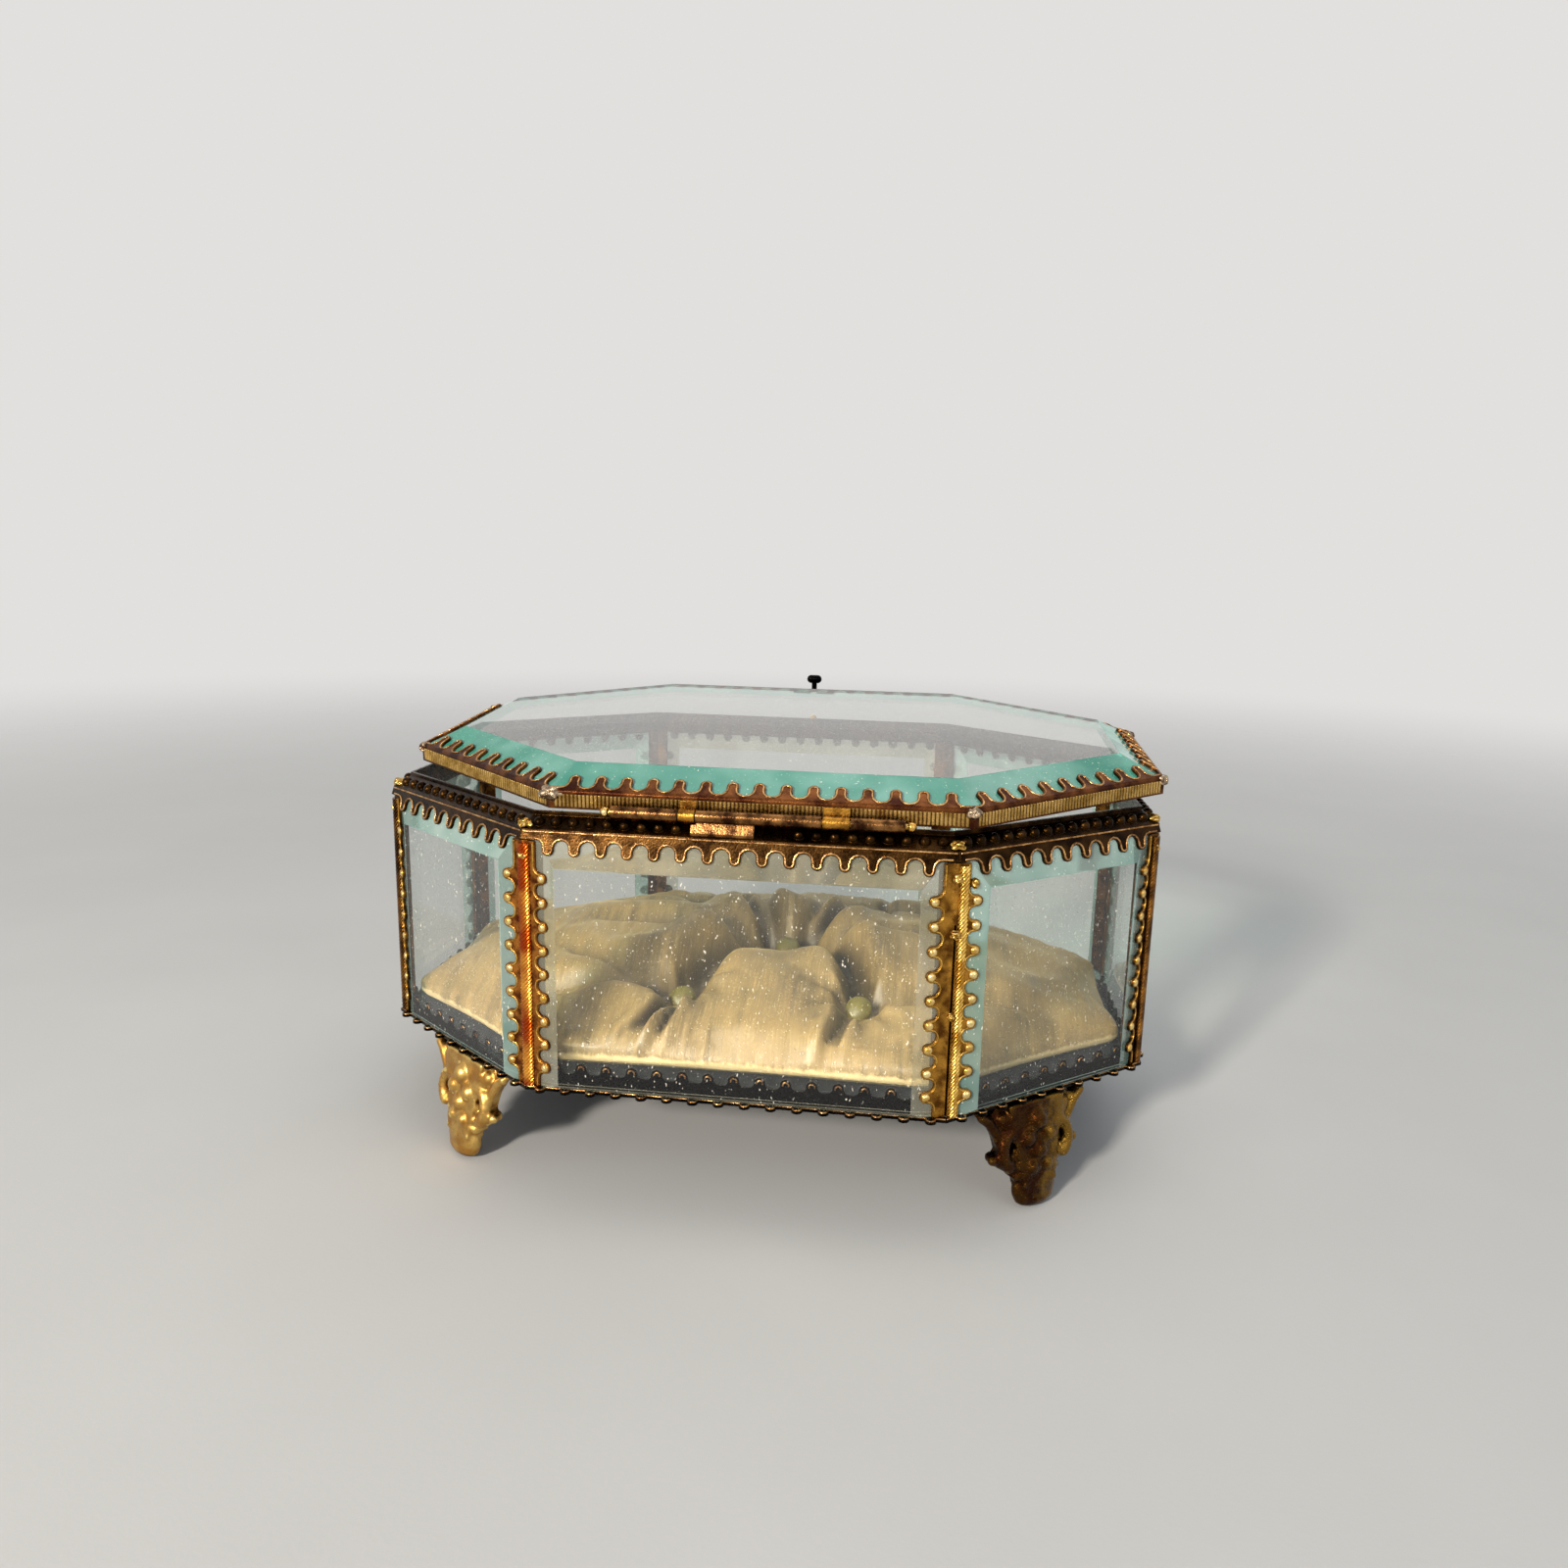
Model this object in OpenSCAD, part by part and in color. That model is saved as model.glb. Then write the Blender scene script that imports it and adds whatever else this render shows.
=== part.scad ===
// Glass casket box: an elongated octagon of bevelled glass panes held in toothed
// gilt-brass strips, on four leaf feet, with a tufted silk pad and a hinged glass lid.
// Millimetres, +Z up. The origin is on the table, under the middle of the box.
// The hinge runs along the -Y side and the lid opens upwards from the +Y side.

/* [Case] */
// Length of the front and back panels, corner to corner
long_side = 70; // [60:1:84]
// How far each corner panel runs along the length
corner_run = 35; // [30:0.5:42]
// How far each corner panel runs across the depth
corner_set = 27.5; // [24:0.5:34]
// Length of the two end panels
end_side = 38; // [30:1:48]
// Height of the glazed case, from its underside to the fold of its rim
case_h = 45; // [36:1:60]

/* [Glass] */
// Thickness of the side glass at its flat centre
side_glass = 4; // [3.6:0.1:5]
// Depth ground off the side glass by its bevel
side_bevel_depth = 1.7; // [1.2:0.1:2]
// Width of the upright bevels of the side glass
side_bevel_w = 4.5; // [3.5:0.1:6]
// Width of the top bevel of the side glass
top_bevel_w = 6; // [5:0.1:8]
// Ground arris along the bottom of the side glass
arris = 0.8; // [0.3:0.1:1.2]
// Thickness of the lid glass at its flat centre
lid_glass_t = 5.6; // [5:0.1:7]
// Depth ground off the lid glass by its bevel
lid_bevel_depth = 3.3; // [2.4:0.1:3.8]
// Width of the lid glass bevel
lid_bevel_w = 6.8; // [5.5:0.1:9]

/* [Brass strip] */
// Thickness of the brass sheet
sheet = 0.5; // [0.4:0.05:0.7]
// Width of a tooth along its strip
tooth_w = 1.9; // [1.4:0.1:2.2]
// Distance from tooth to tooth on the rims, sills and lid
tooth_pitch = 4.35; // [3.8:0.05:5]
// Distance from tooth to tooth on the corner posts
post_pitch = 4.1; // [3.6:0.05:4.8]
// Plain band of the rim above its teeth
rim_band = 1.7; // [1.2:0.1:2.4]
// Length of the teeth on the rim
rim_tooth = 2.5; // [1.8:0.1:3.2]
// Rise of the sloping beaded ledge of the rim
ledge_rise = 1.9; // [1.2:0.1:2.6]
// Height of the plain lip above the ledge
lip_h = 0.7; // [0.4:0.1:1.4]
// How far the inner flange of the rim reaches down
inner_drop = 2; // [1.2:0.1:3]
// Diameter of the beads on the ledge
bead_d = 1.9; // [1.2:0.1:2.2]
// Distance from bead to bead
bead_pitch = 2.82; // [2.5:0.02:4]
// Width of a corner post's band on each panel, from the corner
post_band = 2.4; // [2:0.1:3.2]
// Length of the teeth on the corner posts
post_tooth = 2.2; // [1.6:0.1:2.8]
// Width of the open seam in the worn corner post
seam_w = 0.5; // [0.2:0.1:0.8]
// Height of the sill's inner leg under its teeth
sill_leg = 2; // [1.4:0.1:3]
// Length of the teeth on the sill's inner leg
leg_tooth = 1.9; // [1.4:0.1:2.4]
// Length of the teeth along the sill's outer edge
edge_tooth = 1.1; // [1:0.1:1.6]
// Plain band of the lid strip over the glass, under its teeth
lid_band = 0.6; // [0.3:0.1:1]
// Length of the teeth on the lid strip
lid_tooth = 3; // [2.2:0.1:3.6]
// Width of the lid strip's flange under the glass
lid_flange = 3.5; // [2.4:0.1:5]

/* [Lid and hinge] */
// How far the lid stands in from the fold of the rim
lid_inset = 2.5; // [2.4:0.1:4]
// How far the lid and its hinge sit to the right of the middle
lid_shift = 3; // [-3:0.5:3]
// Gap between the rim and the shut lid
lid_gap = 0.5; // [0.3:0.1:1]
// Angle at which the lid stands ajar
ajar = 4; // [0:0.5:30]
// Diameter of the hinge pin
pin_d = 1; // [0.8:0.1:1.2]
// Radial clearance of the pin in its knuckles
pin_clear = 0.05; // [0.02:0.01:0.08]
// Wall of the knuckles
knuckle_wall = 0.5; // [0.4:0.05:0.6]
// Length of the left outer knuckle
knuckle_left = 10.9; // [8:0.1:13]
// Length of the lid's left knuckle
lid_knuckle_left = 2.6; // [2:0.1:5]
// Length of the middle knuckle
knuckle_mid = 20; // [16:0.1:24]
// Length of the lid's right knuckle
lid_knuckle_right = 4.2; // [2:0.1:6]
// Length of the right outer knuckle
knuckle_right = 8.5; // [6:0.1:11]
// Gap between knuckles
knuckle_gap = 0.2; // [0.1:0.05:0.4]
// Gap between the knuckles and the lid strip
hinge_clear = 0.25; // [0.2:0.05:0.5]
// Height of the lid knuckles' tabs on the lid strip
tab_h = 2.2; // [1.2:0.1:2.8]
// Width of the front catch plate
catch_w = 9.4; // [6:0.1:12]
// Height of the front catch plate above the lid's lower edge
catch_h = 3.6; // [3:0.1:4.2]
// Thickness of the front catch plate
catch_t = 0.7; // [0.5:0.1:1]
// Length of the thumb piece
thumb_w = 3.4; // [2.6:0.1:6]
// Diameter of the thumb piece
thumb_d = 1.9; // [1.6:0.1:2.4]
// Height of the thumb piece's middle above the lid's lower edge
thumb_h = 6.8; // [6.4:0.1:8]
// Diameter of the keeper stud that the catch plate snaps over
stud_d = 1; // [0.8:0.1:1]
// Side clearance of the stud in the catch plate's notch
stud_clear = 0.15; // [0.1:0.05:0.3]

/* [Feet] */
// Height of the feet
foot_h = 19; // [14:0.5:24]
// Half the width of a foot where it meets the case
foot_half_w = 12.5; // [11:0.5:14]
// How far the toe stands out from the top of the foot
foot_splay = 3; // [0:0.5:5]
// Thickness of the foot's metal
foot_t = 1.6; // [1.2:0.1:2.2]
// Thickness of the foot's rounded middle rib
rib_t = 3.2; // [2.4:0.1:4]
// Half the width of the toe
toe_half_w = 4.6; // [3.6:0.1:5.5]
// Radius of the rounded sides of the toe
toe_r = 2.4; // [1:0.1:2.8]
// How far the feet sit from the middle of their panels, towards the long sides
foot_offset = 3.5; // [0:0.5:6]

/* [Lining] */
// Thickness of the brass bottom sheet
base_t = 0.8; // [0.5:0.1:1.5]
// Thickness of the card under the pad
card_t = 1.2; // [0.8:0.1:2.5]
// Gap around the bottom sheet and the card
lining_gap = 0.2; // [0.1:0.05:0.5]
// Gap between the pad and the brass around it
pad_gap = 0.5; // [0.3:0.1:1.5]
// Height of the pad's rolled edge
pad_edge = 5.5; // [4:0.5:8]
// Height of the pad at its crown
pad_crown = 14; // [10:0.5:18]
// How far the pad's sides draw in between its corners
pad_draw = 0.8; // [0.2:0.1:1.5]
// Depth of the sewn tufts
tuft_depth = 5; // [2:0.5:6]
// Width of the dimple round a tuft
tuft_w = 5.5; // [4:0.5:8]
// Distance of the four outer tufts from the middle one, along the length
tuft_x = 16; // [12:0.5:24]
// Distance of the four outer tufts from the middle one, across the depth
tuft_y = 25.5; // [18:0.5:27]
// How far the middle tuft sits to the right of the pad's middle
tuft_shift = 3.5; // [-4:0.5:4]
// Diameter of the covered buttons
button_d = 4.6; // [3.6:0.1:5.6]
// Height of the covered buttons
button_h = 1.8; // [1.2:0.1:2.4]
// Gap under the covered buttons
button_gap = 0.9; // [0.8:0.1:1.2]

/* [Hidden] */
SIDE_NAMES = ["back", "back_right", "right", "front_right", "front", "front_left", "left", "back_left"];
$fn = 48;

BRASS = "#a9792c";
DARK_BRASS = "#5b3c1a";
GLASS = "#a9c8bf88";
LID_GLASS = "#7cc2ad88";
SILK = "#bfae80";
OLIVE = "#7f7a3c";

// Plan of the case: eight corners, anticlockwise from the hinge side's left end.
half_l = long_side / 2 + corner_run;
half_d = end_side / 2 + corner_set;
CORNERS = [
    [-long_side / 2, -half_d], [long_side / 2, -half_d],
    [half_l, -end_side / 2], [half_l, end_side / 2],
    [long_side / 2, half_d], [-long_side / 2, half_d],
    [-half_l, end_side / 2], [-half_l, -end_side / 2]
];
SIDES = [0:7];
function start(k) = CORNERS[k % 8];
function finish(k) = CORNERS[(k + 1) % 8];
function run(k) = norm(finish(k) - start(k));
function heading(k) = atan2(finish(k).y - start(k).y, finish(k).x - start(k).x);
// Half of the angle that the outline turns through at corner k, as a tangent.
function turn(k) = (heading(k % 8) - heading((k + 7) % 8) + 720) % 360;
function mitre_tan(k) = tan(turn(k) / 2);
// Ends of side k at a depth y inside the fold line, along the side's own axis.
function left_end(k, y) = -run(k) / 2 + y * mitre_tan(k);
function right_end(k, y) = run(k) / 2 - y * mitre_tan(k + 1);
// Corner k of the outline set in by d.
function inset_corner(k, d) =
    let(h = heading(k), s = d * mitre_tan(k))
    [start(k).x + s * cos(h) - d * sin(h), start(k).y + s * sin(h) + d * cos(h)];
function inset_outline(d) = [for (k = SIDES) inset_corner(k, d)];
// Distance from the middle to side k.
function apothem(k) =
    let(h = heading(k), mid = (start(k) + finish(k)) / 2) mid.x * sin(h) - mid.y * cos(h);

// Levels
case_z = foot_h;
fold_z = foot_h + case_h;
rim_top = ledge_rise + lip_h;

// Side glass: its border lies just inside the strips, its flat stands proud of them.
pane_in = sheet + side_glass - side_bevel_depth;
pane_out = sheet - side_bevel_depth;
pane_clear = 0.1;
side_slope = atan2(side_bevel_depth, side_bevel_w);
top_slope = atan2(side_bevel_depth, top_bevel_w);
function pane_edge(k) = pane_in * mitre_tan(k) + pane_clear;

// How far the halves of a post run into each other, just behind its fold
post_lap = 0.2;

// Rim
rim_reach = rim_band + rim_tooth;
rim_down = [-sin(top_slope), -cos(top_slope)];
rim_out = [-cos(top_slope), sin(top_slope)];
rim_fold = [sheet, 0] + sheet * rim_out;
function ledge(y) =
    rim_fold.y + (ledge_rise - rim_fold.y) * (y - rim_fold.x) / (pane_in - rim_fold.x);
bead_y = pane_in / 2;
bead_z = max(ledge(bead_y), bead_d / 2);
bead_top = bead_z + bead_d / 2;
corner_margin = post_band + tooth_w / 2 + 0.2;

// Sill
sill_edge = 0.6;
sill_flange = 2.4;
sill_in = pane_in + sheet + sill_flange;

// Hinge and lid
bore_d = pin_d + 2 * pin_clear;
knuckle_d = bore_d + 2 * knuckle_wall;
hinge_y = lid_inset - hinge_clear - knuckle_d / 2;
hinge_z = bead_top + 0.3 + knuckle_d / 2;
hinge_len = knuckle_left + lid_knuckle_left + knuckle_mid + lid_knuckle_right
    + knuckle_right + 4 * knuckle_gap;
knuckle_x0 = -hinge_len / 2;
lid_x0 = knuckle_x0 + knuckle_left + knuckle_gap;
mid_x0 = lid_x0 + lid_knuckle_left + knuckle_gap;
lid_x1 = mid_x0 + knuckle_mid + knuckle_gap;
right_x0 = lid_x1 + lid_knuckle_right + knuckle_gap;
// Ends of the leaf's flap and of the bare ledge beside it, from the hinge's middle
flap_x0 = -10.4;
flap_x1 = -0.2;
bare_x1 = 5.6;
lid_z = rim_top + lid_gap;
lid_edge_t = lid_glass_t - lid_bevel_depth;
lid_slope = atan2(lid_bevel_depth, lid_bevel_w);

// Lining
bottom_inset = pane_in + sheet + lining_gap;
card_z = case_z + sheet + base_t;
pad_z = card_z + card_t;
pad_inset = bottom_inset + pad_gap;
TUFTS = [
    [tuft_shift, 0],
    for (x = [-tuft_x, tuft_x], y = [-tuft_y, tuft_y]) [tuft_shift + x, y]
];

// ---------------------------------------------------------------- placing

// Side k's own frame: x along the side from its left end, y into the box.
module at_side(k) {
    mid = (start(k) + finish(k)) / 2;
    translate([mid.x, mid.y, 0]) rotate([0, 0, heading(k)]) children();
}

// A profile drawn as [y, z], run along the x axis.
module along_x(length, profile) {
    rotate([90, 0, 90]) translate([0, 0, -length / 2])
        linear_extrude(length) polygon(profile);
}

// The same profile as a strip of side k, mitred to its neighbours.
module mitred(k, profile) {
    ys = [for (p = profile) p.x];
    zs = [for (p = profile) p.y];
    y0 = min(ys) - 1;
    y1 = max(ys) + 1;
    intersection() {
        along_x(2 * run(k), profile);
        translate([0, 0, min(zs) - 1])
            linear_extrude(max(zs) - min(zs) + 2)
                polygon([
                    [left_end(k, y0), y0], [right_end(k, y0), y0],
                    [right_end(k, y1), y1], [left_end(k, y1), y1]
                ]);
    }
}

// ---------------------------------------------------------------- teeth

// One rounded tooth with filleted roots, standing on y = 0 and pointing to +y.
module tooth(length, pitch, foot) {
    root = min((pitch - tooth_w) / 2 - 0.05, length - tooth_w / 2 - 0.05);
    translate([-tooth_w / 2, -foot]) square([tooth_w, length - tooth_w / 2 + foot]);
    translate([0, length - tooth_w / 2]) circle(d = tooth_w);
    difference() {
        translate([-tooth_w / 2 - root, -foot]) square([tooth_w + 2 * root, root + foot]);
        for (side = [-1, 1])
            translate([side * (tooth_w / 2 + root), root]) circle(r = root);
    }
}

// A row of teeth between x0 and x1, centred on that stretch.
module tooth_row(x0, x1, length, pitch, foot = 0.2) {
    count = max(1, floor((x1 - x0) / pitch + 0.001) + 1);
    first = (x0 + x1) / 2 - (count - 1) * pitch / 2;
    for (i = [0:count - 1])
        translate([first + i * pitch, 0]) tooth(length, pitch, foot);
}

// ---------------------------------------------------------------- side glass

module pane(k) {
    x0 = left_end(k, 0) + pane_edge(k);
    x1 = right_end(k, 0) - pane_edge(k + 1);
    z0 = case_z + sheet;
    z1 = fold_z;
    color(GLASS) at_side(k) intersection() {
        translate([0, 0, z0]) linear_extrude(z1 - z0) polygon([
            [x0, pane_in], [x1, pane_in], [x1, sheet],
            [x1 - side_bevel_w, pane_out], [x0 + side_bevel_w, pane_out], [x0, sheet]
        ]);
        along_x(run(k), [
            [pane_in, z0], [pane_in, z1], [sheet, z1],
            [pane_out, z1 - top_bevel_w], [pane_out, z0 + arris], [pane_out + arris, z0]
        ]);
    }
}

// ---------------------------------------------------------------- corner posts

// The half of a post that lies on the panel to the right of corner k, with its
// corner at x = 0 and the panel along +x.
module post_half(k, seam) {
    edge = pane_edge(k) - pane_clear / 2;
    on_glass = post_band - edge;
    fold = [edge - sheet * sin(side_slope), sheet - sheet * cos(side_slope)];
    band = on_glass * [cos(side_slope), -sin(side_slope)];
    z0 = case_z + sheet;
    z_band = fold_z - rim_band - 0.1;
    z_cover = case_z + sheet + sill_leg + leg_tooth + 0.2;
    difference() {
        union() {
            translate([0, 0, z0]) linear_extrude(z_band - z0) polygon([
                [0, 0], fold, fold + band, [edge, sheet] + band, [edge, sheet],
                [sheet * mitre_tan(k), sheet]
            ]);
            translate([0, 0, z0]) linear_extrude(fold_z - z0) polygon([
                [sheet * mitre_tan(k) - post_lap, sheet], [edge, sheet], [edge, pane_in],
                [pane_in * mitre_tan(k), pane_in]
            ]);
            translate([0, 0, z_cover]) linear_extrude(fold_z - inner_drop - z_cover) polygon([
                [pane_in * mitre_tan(k), pane_in], [pane_in * mitre_tan(k) + post_band, pane_in],
                [pane_in * mitre_tan(k) + post_band, pane_in + sheet],
                [(pane_in + sheet) * mitre_tan(k), pane_in + sheet]
            ]);
            translate([edge, sheet, 0]) rotate([0, 0, -90 - side_slope]) rotate([0, -90, 0])
                translate([0, on_glass, -sheet]) linear_extrude(sheet)
                    tooth_row(z0 + tooth_w, fold_z - rim_reach - tooth_w, post_tooth, post_pitch);
        }
        if (seam)
            translate([-1, -1, z0 - 1]) cube([1 + seam_w / 2, 2.2, 0.75 * case_h]);
    }
}

// Post at corner k, between side k - 1 and side k.
module post(k) {
    color(BRASS) {
        at_side(k) translate([left_end(k, 0), 0, 0]) post_half(k, k == 1);
        at_side(k + 7) translate([right_end(k + 7, 0), 0, 0])
            mirror([1, 0, 0]) post_half(k, k == 1);
    }
}

// ---------------------------------------------------------------- top rim

module rim(k) {
    glass_top = [sheet, 0];
    color(BRASS) at_side(k) translate([0, 0, fold_z]) {
        mitred(k, [
            rim_fold, rim_fold + rim_band * rim_down, glass_top + rim_band * rim_down,
            glass_top, [pane_in, 0], [pane_in, -inner_drop],
            [pane_in + sheet, -inner_drop], [pane_in + sheet, rim_top],
            [pane_in, rim_top], [pane_in, ledge_rise]
        ]);
        translate([0, sheet, 0]) rotate([-90 - top_slope, 0, 0])
            translate([0, rim_band, -sheet]) linear_extrude(sheet)
                tooth_row(left_end(k, 0) + corner_margin, right_end(k, 0) - corner_margin,
                    rim_tooth, tooth_pitch);
        beads(k);
    }
}

// Whether the ledge of side k is bare at x: under the hinge leaf and the keeper stud.
function bare(k, x) =
    k == 0 ? x > lid_shift + flap_x0 - bead_d / 2 - 0.2 && x < lid_shift + bare_x1
    : k == 4 && abs(x + lid_shift) < stud_d / 2 + bead_d;

// Beads along the ledge.
module beads(k) {
    x0 = left_end(k, bead_y) + bead_pitch / 2;
    x1 = right_end(k, bead_y) - bead_pitch / 2;
    count = floor((x1 - x0) / bead_pitch);
    first = (x0 + x1 - count * bead_pitch) / 2;
    for (i = [0:count])
        if (!bare(k, first + i * bead_pitch))
            translate([first + i * bead_pitch, bead_y, bead_z]) sphere(d = bead_d);
}

// ---------------------------------------------------------------- bottom sill

module sill(k) {
    margin = tooth_w;
    color(DARK_BRASS) at_side(k) translate([0, 0, case_z]) {
        mitred(k, [
            [-sill_edge, 0], [sill_in, 0], [sill_in, sheet], [pane_in + sheet, sheet],
            [pane_in + sheet, sheet + sill_leg], [pane_in, sheet + sill_leg],
            [pane_in, sheet], [-sill_edge, sheet]
        ]);
        translate([0, -sill_edge, 0]) mirror([0, 1, 0]) linear_extrude(sheet)
            tooth_row(left_end(k, 0) + margin, right_end(k, 0) - margin,
                edge_tooth, tooth_pitch);
        translate([0, pane_in + sheet, sheet + sill_leg]) rotate([90, 0, 0])
            linear_extrude(sheet)
                tooth_row(left_end(k, pane_in) + margin, right_end(k, pane_in) - margin,
                    leg_tooth, tooth_pitch);
    }
}

// ---------------------------------------------------------------- feet

// How far the back of a foot stands out from the case at height z.
function toe_line(z) = -foot_splay * pow(1 - z / foot_h, 1.4);
FOOT_STEPS = 12;

// Front outline of a foot: a rounded toe, a curl and a leaf point on each side, and
// arms that spread to the case with an arched gap under it.
module foot_outline() {
    curl_z = 0.36 * foot_h;
    leaf_z = 0.52 * foot_h;
    waist_w = toe_half_w - 0.5;
    leaf_w = 0.7 * foot_half_w;
    arch_d = 2.6;
    difference() {
        for (side = [0, 1]) mirror([side, 0]) {
            translate([toe_half_w - toe_r, toe_r]) circle(r = toe_r);
            polygon([
                [0, 0], [toe_half_w - toe_r, 0], [toe_half_w, toe_r], [waist_w, curl_z],
                [leaf_w - 1.8, leaf_z - 1.2], [leaf_w, leaf_z], [leaf_w - 1, leaf_z + 1.4],
                [leaf_w - 0.2, 0.74 * foot_h], [foot_half_w - 1.9, 0.89 * foot_h],
                [foot_half_w, foot_h - 0.7], [foot_half_w, foot_h], [0, foot_h]
            ]);
            translate([toe_half_w, curl_z]) circle(d = 2);
            translate([leaf_w, leaf_z + 0.1]) circle(d = 1.7);
        }
        for (side = [-1, 1])
            translate([side * 0.74 * foot_half_w, foot_h]) circle(d = arch_d);
    }
}

// Side profile of a foot: a sheet of thickness t that sweeps out to the toe.
module foot_profile(t) {
    levels = [for (i = [0:FOOT_STEPS]) foot_h * i / FOOT_STEPS];
    outer = [for (z = levels) [toe_line(z) - t, z]];
    inner = [for (i = [FOOT_STEPS:-1:0]) [toe_line(levels[i]), levels[i]]];
    along_x(3 * foot_half_w, concat(outer, inner));
}

// Lobes of the leaf on a foot: place across and up, as shares of the foot, and size
LEAF_LOBES = [
    [0, 0.82, 3.8], [0.3, 0.85, 3.2], [0.55, 0.87, 2.6], [0.19, 0.67, 3.3], [0.42, 0.7, 2.9],
    [0, 0.54, 3.4], [0.33, 0.54, 2.8], [0.13, 0.4, 2.7]
];
// How far a lobe on the middle rib is sunk into it
lobe_sunk = 0.4;
// Share of the foot's half width that its middle rib covers
rib_share = 0.3;

// Foot under corner panel k. The towards sign points to the nearer long side.
module foot(k, towards) {
    color(BRASS) at_side(k) translate([towards * foot_offset, foot_t, 0]) {
        intersection() {
            rotate([90, 0, 0]) translate([0, 0, -foot_h]) linear_extrude(2 * foot_h)
                foot_outline();
            foot_profile(foot_t);
        }
        intersection() {
            rotate([90, 0, 0]) translate([0, 0, -foot_h]) linear_extrude(2 * foot_h)
                polygon([
                    [1.4 - toe_half_w, 0], [toe_half_w - 1.4, 0], [toe_half_w - 0.6, 1.6],
                    [toe_half_w - 1, 0.3 * foot_h], [foot_half_w / 2, foot_h],
                    [-foot_half_w / 2, foot_h], [1 - toe_half_w, 0.3 * foot_h],
                    [0.6 - toe_half_w, 1.6]
                ]);
            foot_profile(rib_t);
        }
        for (lobe = LEAF_LOBES, side = lobe[0] == 0 ? [1] : [-1, 1]) {
            z = lobe[1] * foot_h;
            face = toe_line(z) - (lobe[0] < rib_share ? rib_t - lobe_sunk : foot_t);
            translate([side * lobe[0] * foot_half_w, face, z]) sphere(d = lobe[2]);
        }
    }
}

// ---------------------------------------------------------------- lining

module bottom_sheet() {
    color(DARK_BRASS) translate([0, 0, case_z + sheet])
        linear_extrude(base_t) polygon(inset_outline(bottom_inset));
}

module lining_card() {
    color(SILK) translate([0, 0, card_z])
        linear_extrude(card_t) polygon(inset_outline(bottom_inset + lining_gap));
}

// The pad is a rolled edge round a crowned, tufted top, as rings of points.
PAD_PER_SIDE = 7;
PAD_SPOKES = 8 * PAD_PER_SIDE;
PAD_RINGS = 14;
// Width of the pad's rolled edge, seen from above
pad_roll = 1.6;
// Drawn-in outline of the pad: point j of the rim, set in by d.
function pad_rim(j, d) =
    let(k = floor(j / PAD_PER_SIDE), u = (j % PAD_PER_SIDE) / PAD_PER_SIDE,
        draw = d + pad_draw * 4 * u * (1 - u), a = inset_corner(k, draw),
        b = inset_corner((k + 1) % 8, draw))
    a * (1 - u) + b * u;
function dimple(p, at) = exp(-pow(max(0, norm(p - at) - button_d / 2) / tuft_w, 2));
function pad_height(p, f) =
    let(bulge = pad_edge + (pad_crown - pad_edge) * pow(1 - f * f, 0.8),
        pulls = [for (t = TUFTS) dimple(p, t)])
    bulge - tuft_depth * max(pulls) * (1 - f * f);
// Share of the way from the middle to the pad's outline at which p lies.
function pad_share(p) = max([
    for (k = SIDES)
        (p.x * sin(heading(k)) - p.y * cos(heading(k))) / (apothem(k) - pad_inset - pad_roll)
]);
function pad_ring(f) = [
    for (j = [0:PAD_SPOKES - 1])
        let(p = pad_rim(j, pad_inset + pad_roll) * f) [p.x, p.y, pad_z + pad_height(p, f)]
];
function pad_side(inset, h) = [
    for (j = [0:PAD_SPOKES - 1])
        let(p = pad_rim(j, pad_inset + inset)) [p.x, p.y, pad_z + h]
];

module silk_pad() {
    sides = [
        pad_side(1.8, 0), pad_side(0.3, 0.28 * pad_edge), pad_side(0, 0.55 * pad_edge),
        pad_side(0.5, 0.85 * pad_edge)
    ];
    tops = [for (i = [PAD_RINGS:-1:1]) pad_ring(i / PAD_RINGS)];
    rings = concat(sides, tops);
    n = PAD_SPOKES;
    last = len(rings) - 1;
    points = concat(
        [[0, 0, pad_z]], [for (ring = rings) for (p = ring) p],
        [[0, 0, pad_z + pad_height([0, 0], 0)]]
    );
    skin = [
        for (i = [0:last - 1], j = [0:n - 1])
            let(a = 1 + i * n + j, b = 1 + i * n + (j + 1) % n)
            each [[a, a + n, b], [b, a + n, b + n]]
    ];
    under = [for (j = [0:n - 1]) [0, 1 + j, 1 + (j + 1) % n]];
    crown = [for (j = [0:n - 1])
        [len(points) - 1, 1 + last * n + (j + 1) % n, 1 + last * n + j]];
    color(SILK) polyhedron(points, concat(under, skin, crown));
}

module tuft_buttons() {
    dome_r = (pow(button_d / 2, 2) + pow(button_h, 2)) / (2 * button_h);
    color(OLIVE) for (t = TUFTS) {
        z = pad_z + pad_height(t, pad_share(t)) + button_gap;
        translate([t.x, t.y, z]) intersection() {
            translate([0, 0, button_h - dome_r]) sphere(r = dome_r);
            cylinder(d = button_d, h = button_h);
        }
    }
}

// ---------------------------------------------------------------- hinge

// Places a child drawn with the pin's axis along x through the origin.
module at_hinge() {
    translate([lid_shift, hinge_y - half_d, fold_z + hinge_z]) children();
}

// Turns the lid from shut to where it stands ajar.
module ajar_lid() {
    at_hinge() rotate([ajar, 0, 0]) translate([0, -hinge_y, -hinge_z]) children();
}

module knuckle(x0, length) {
    translate([x0, 0, 0]) rotate([0, 90, 0]) difference() {
        cylinder(d = knuckle_d, h = length);
        translate([0, 0, -1]) cylinder(d = bore_d, h = length + 2);
    }
}

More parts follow.
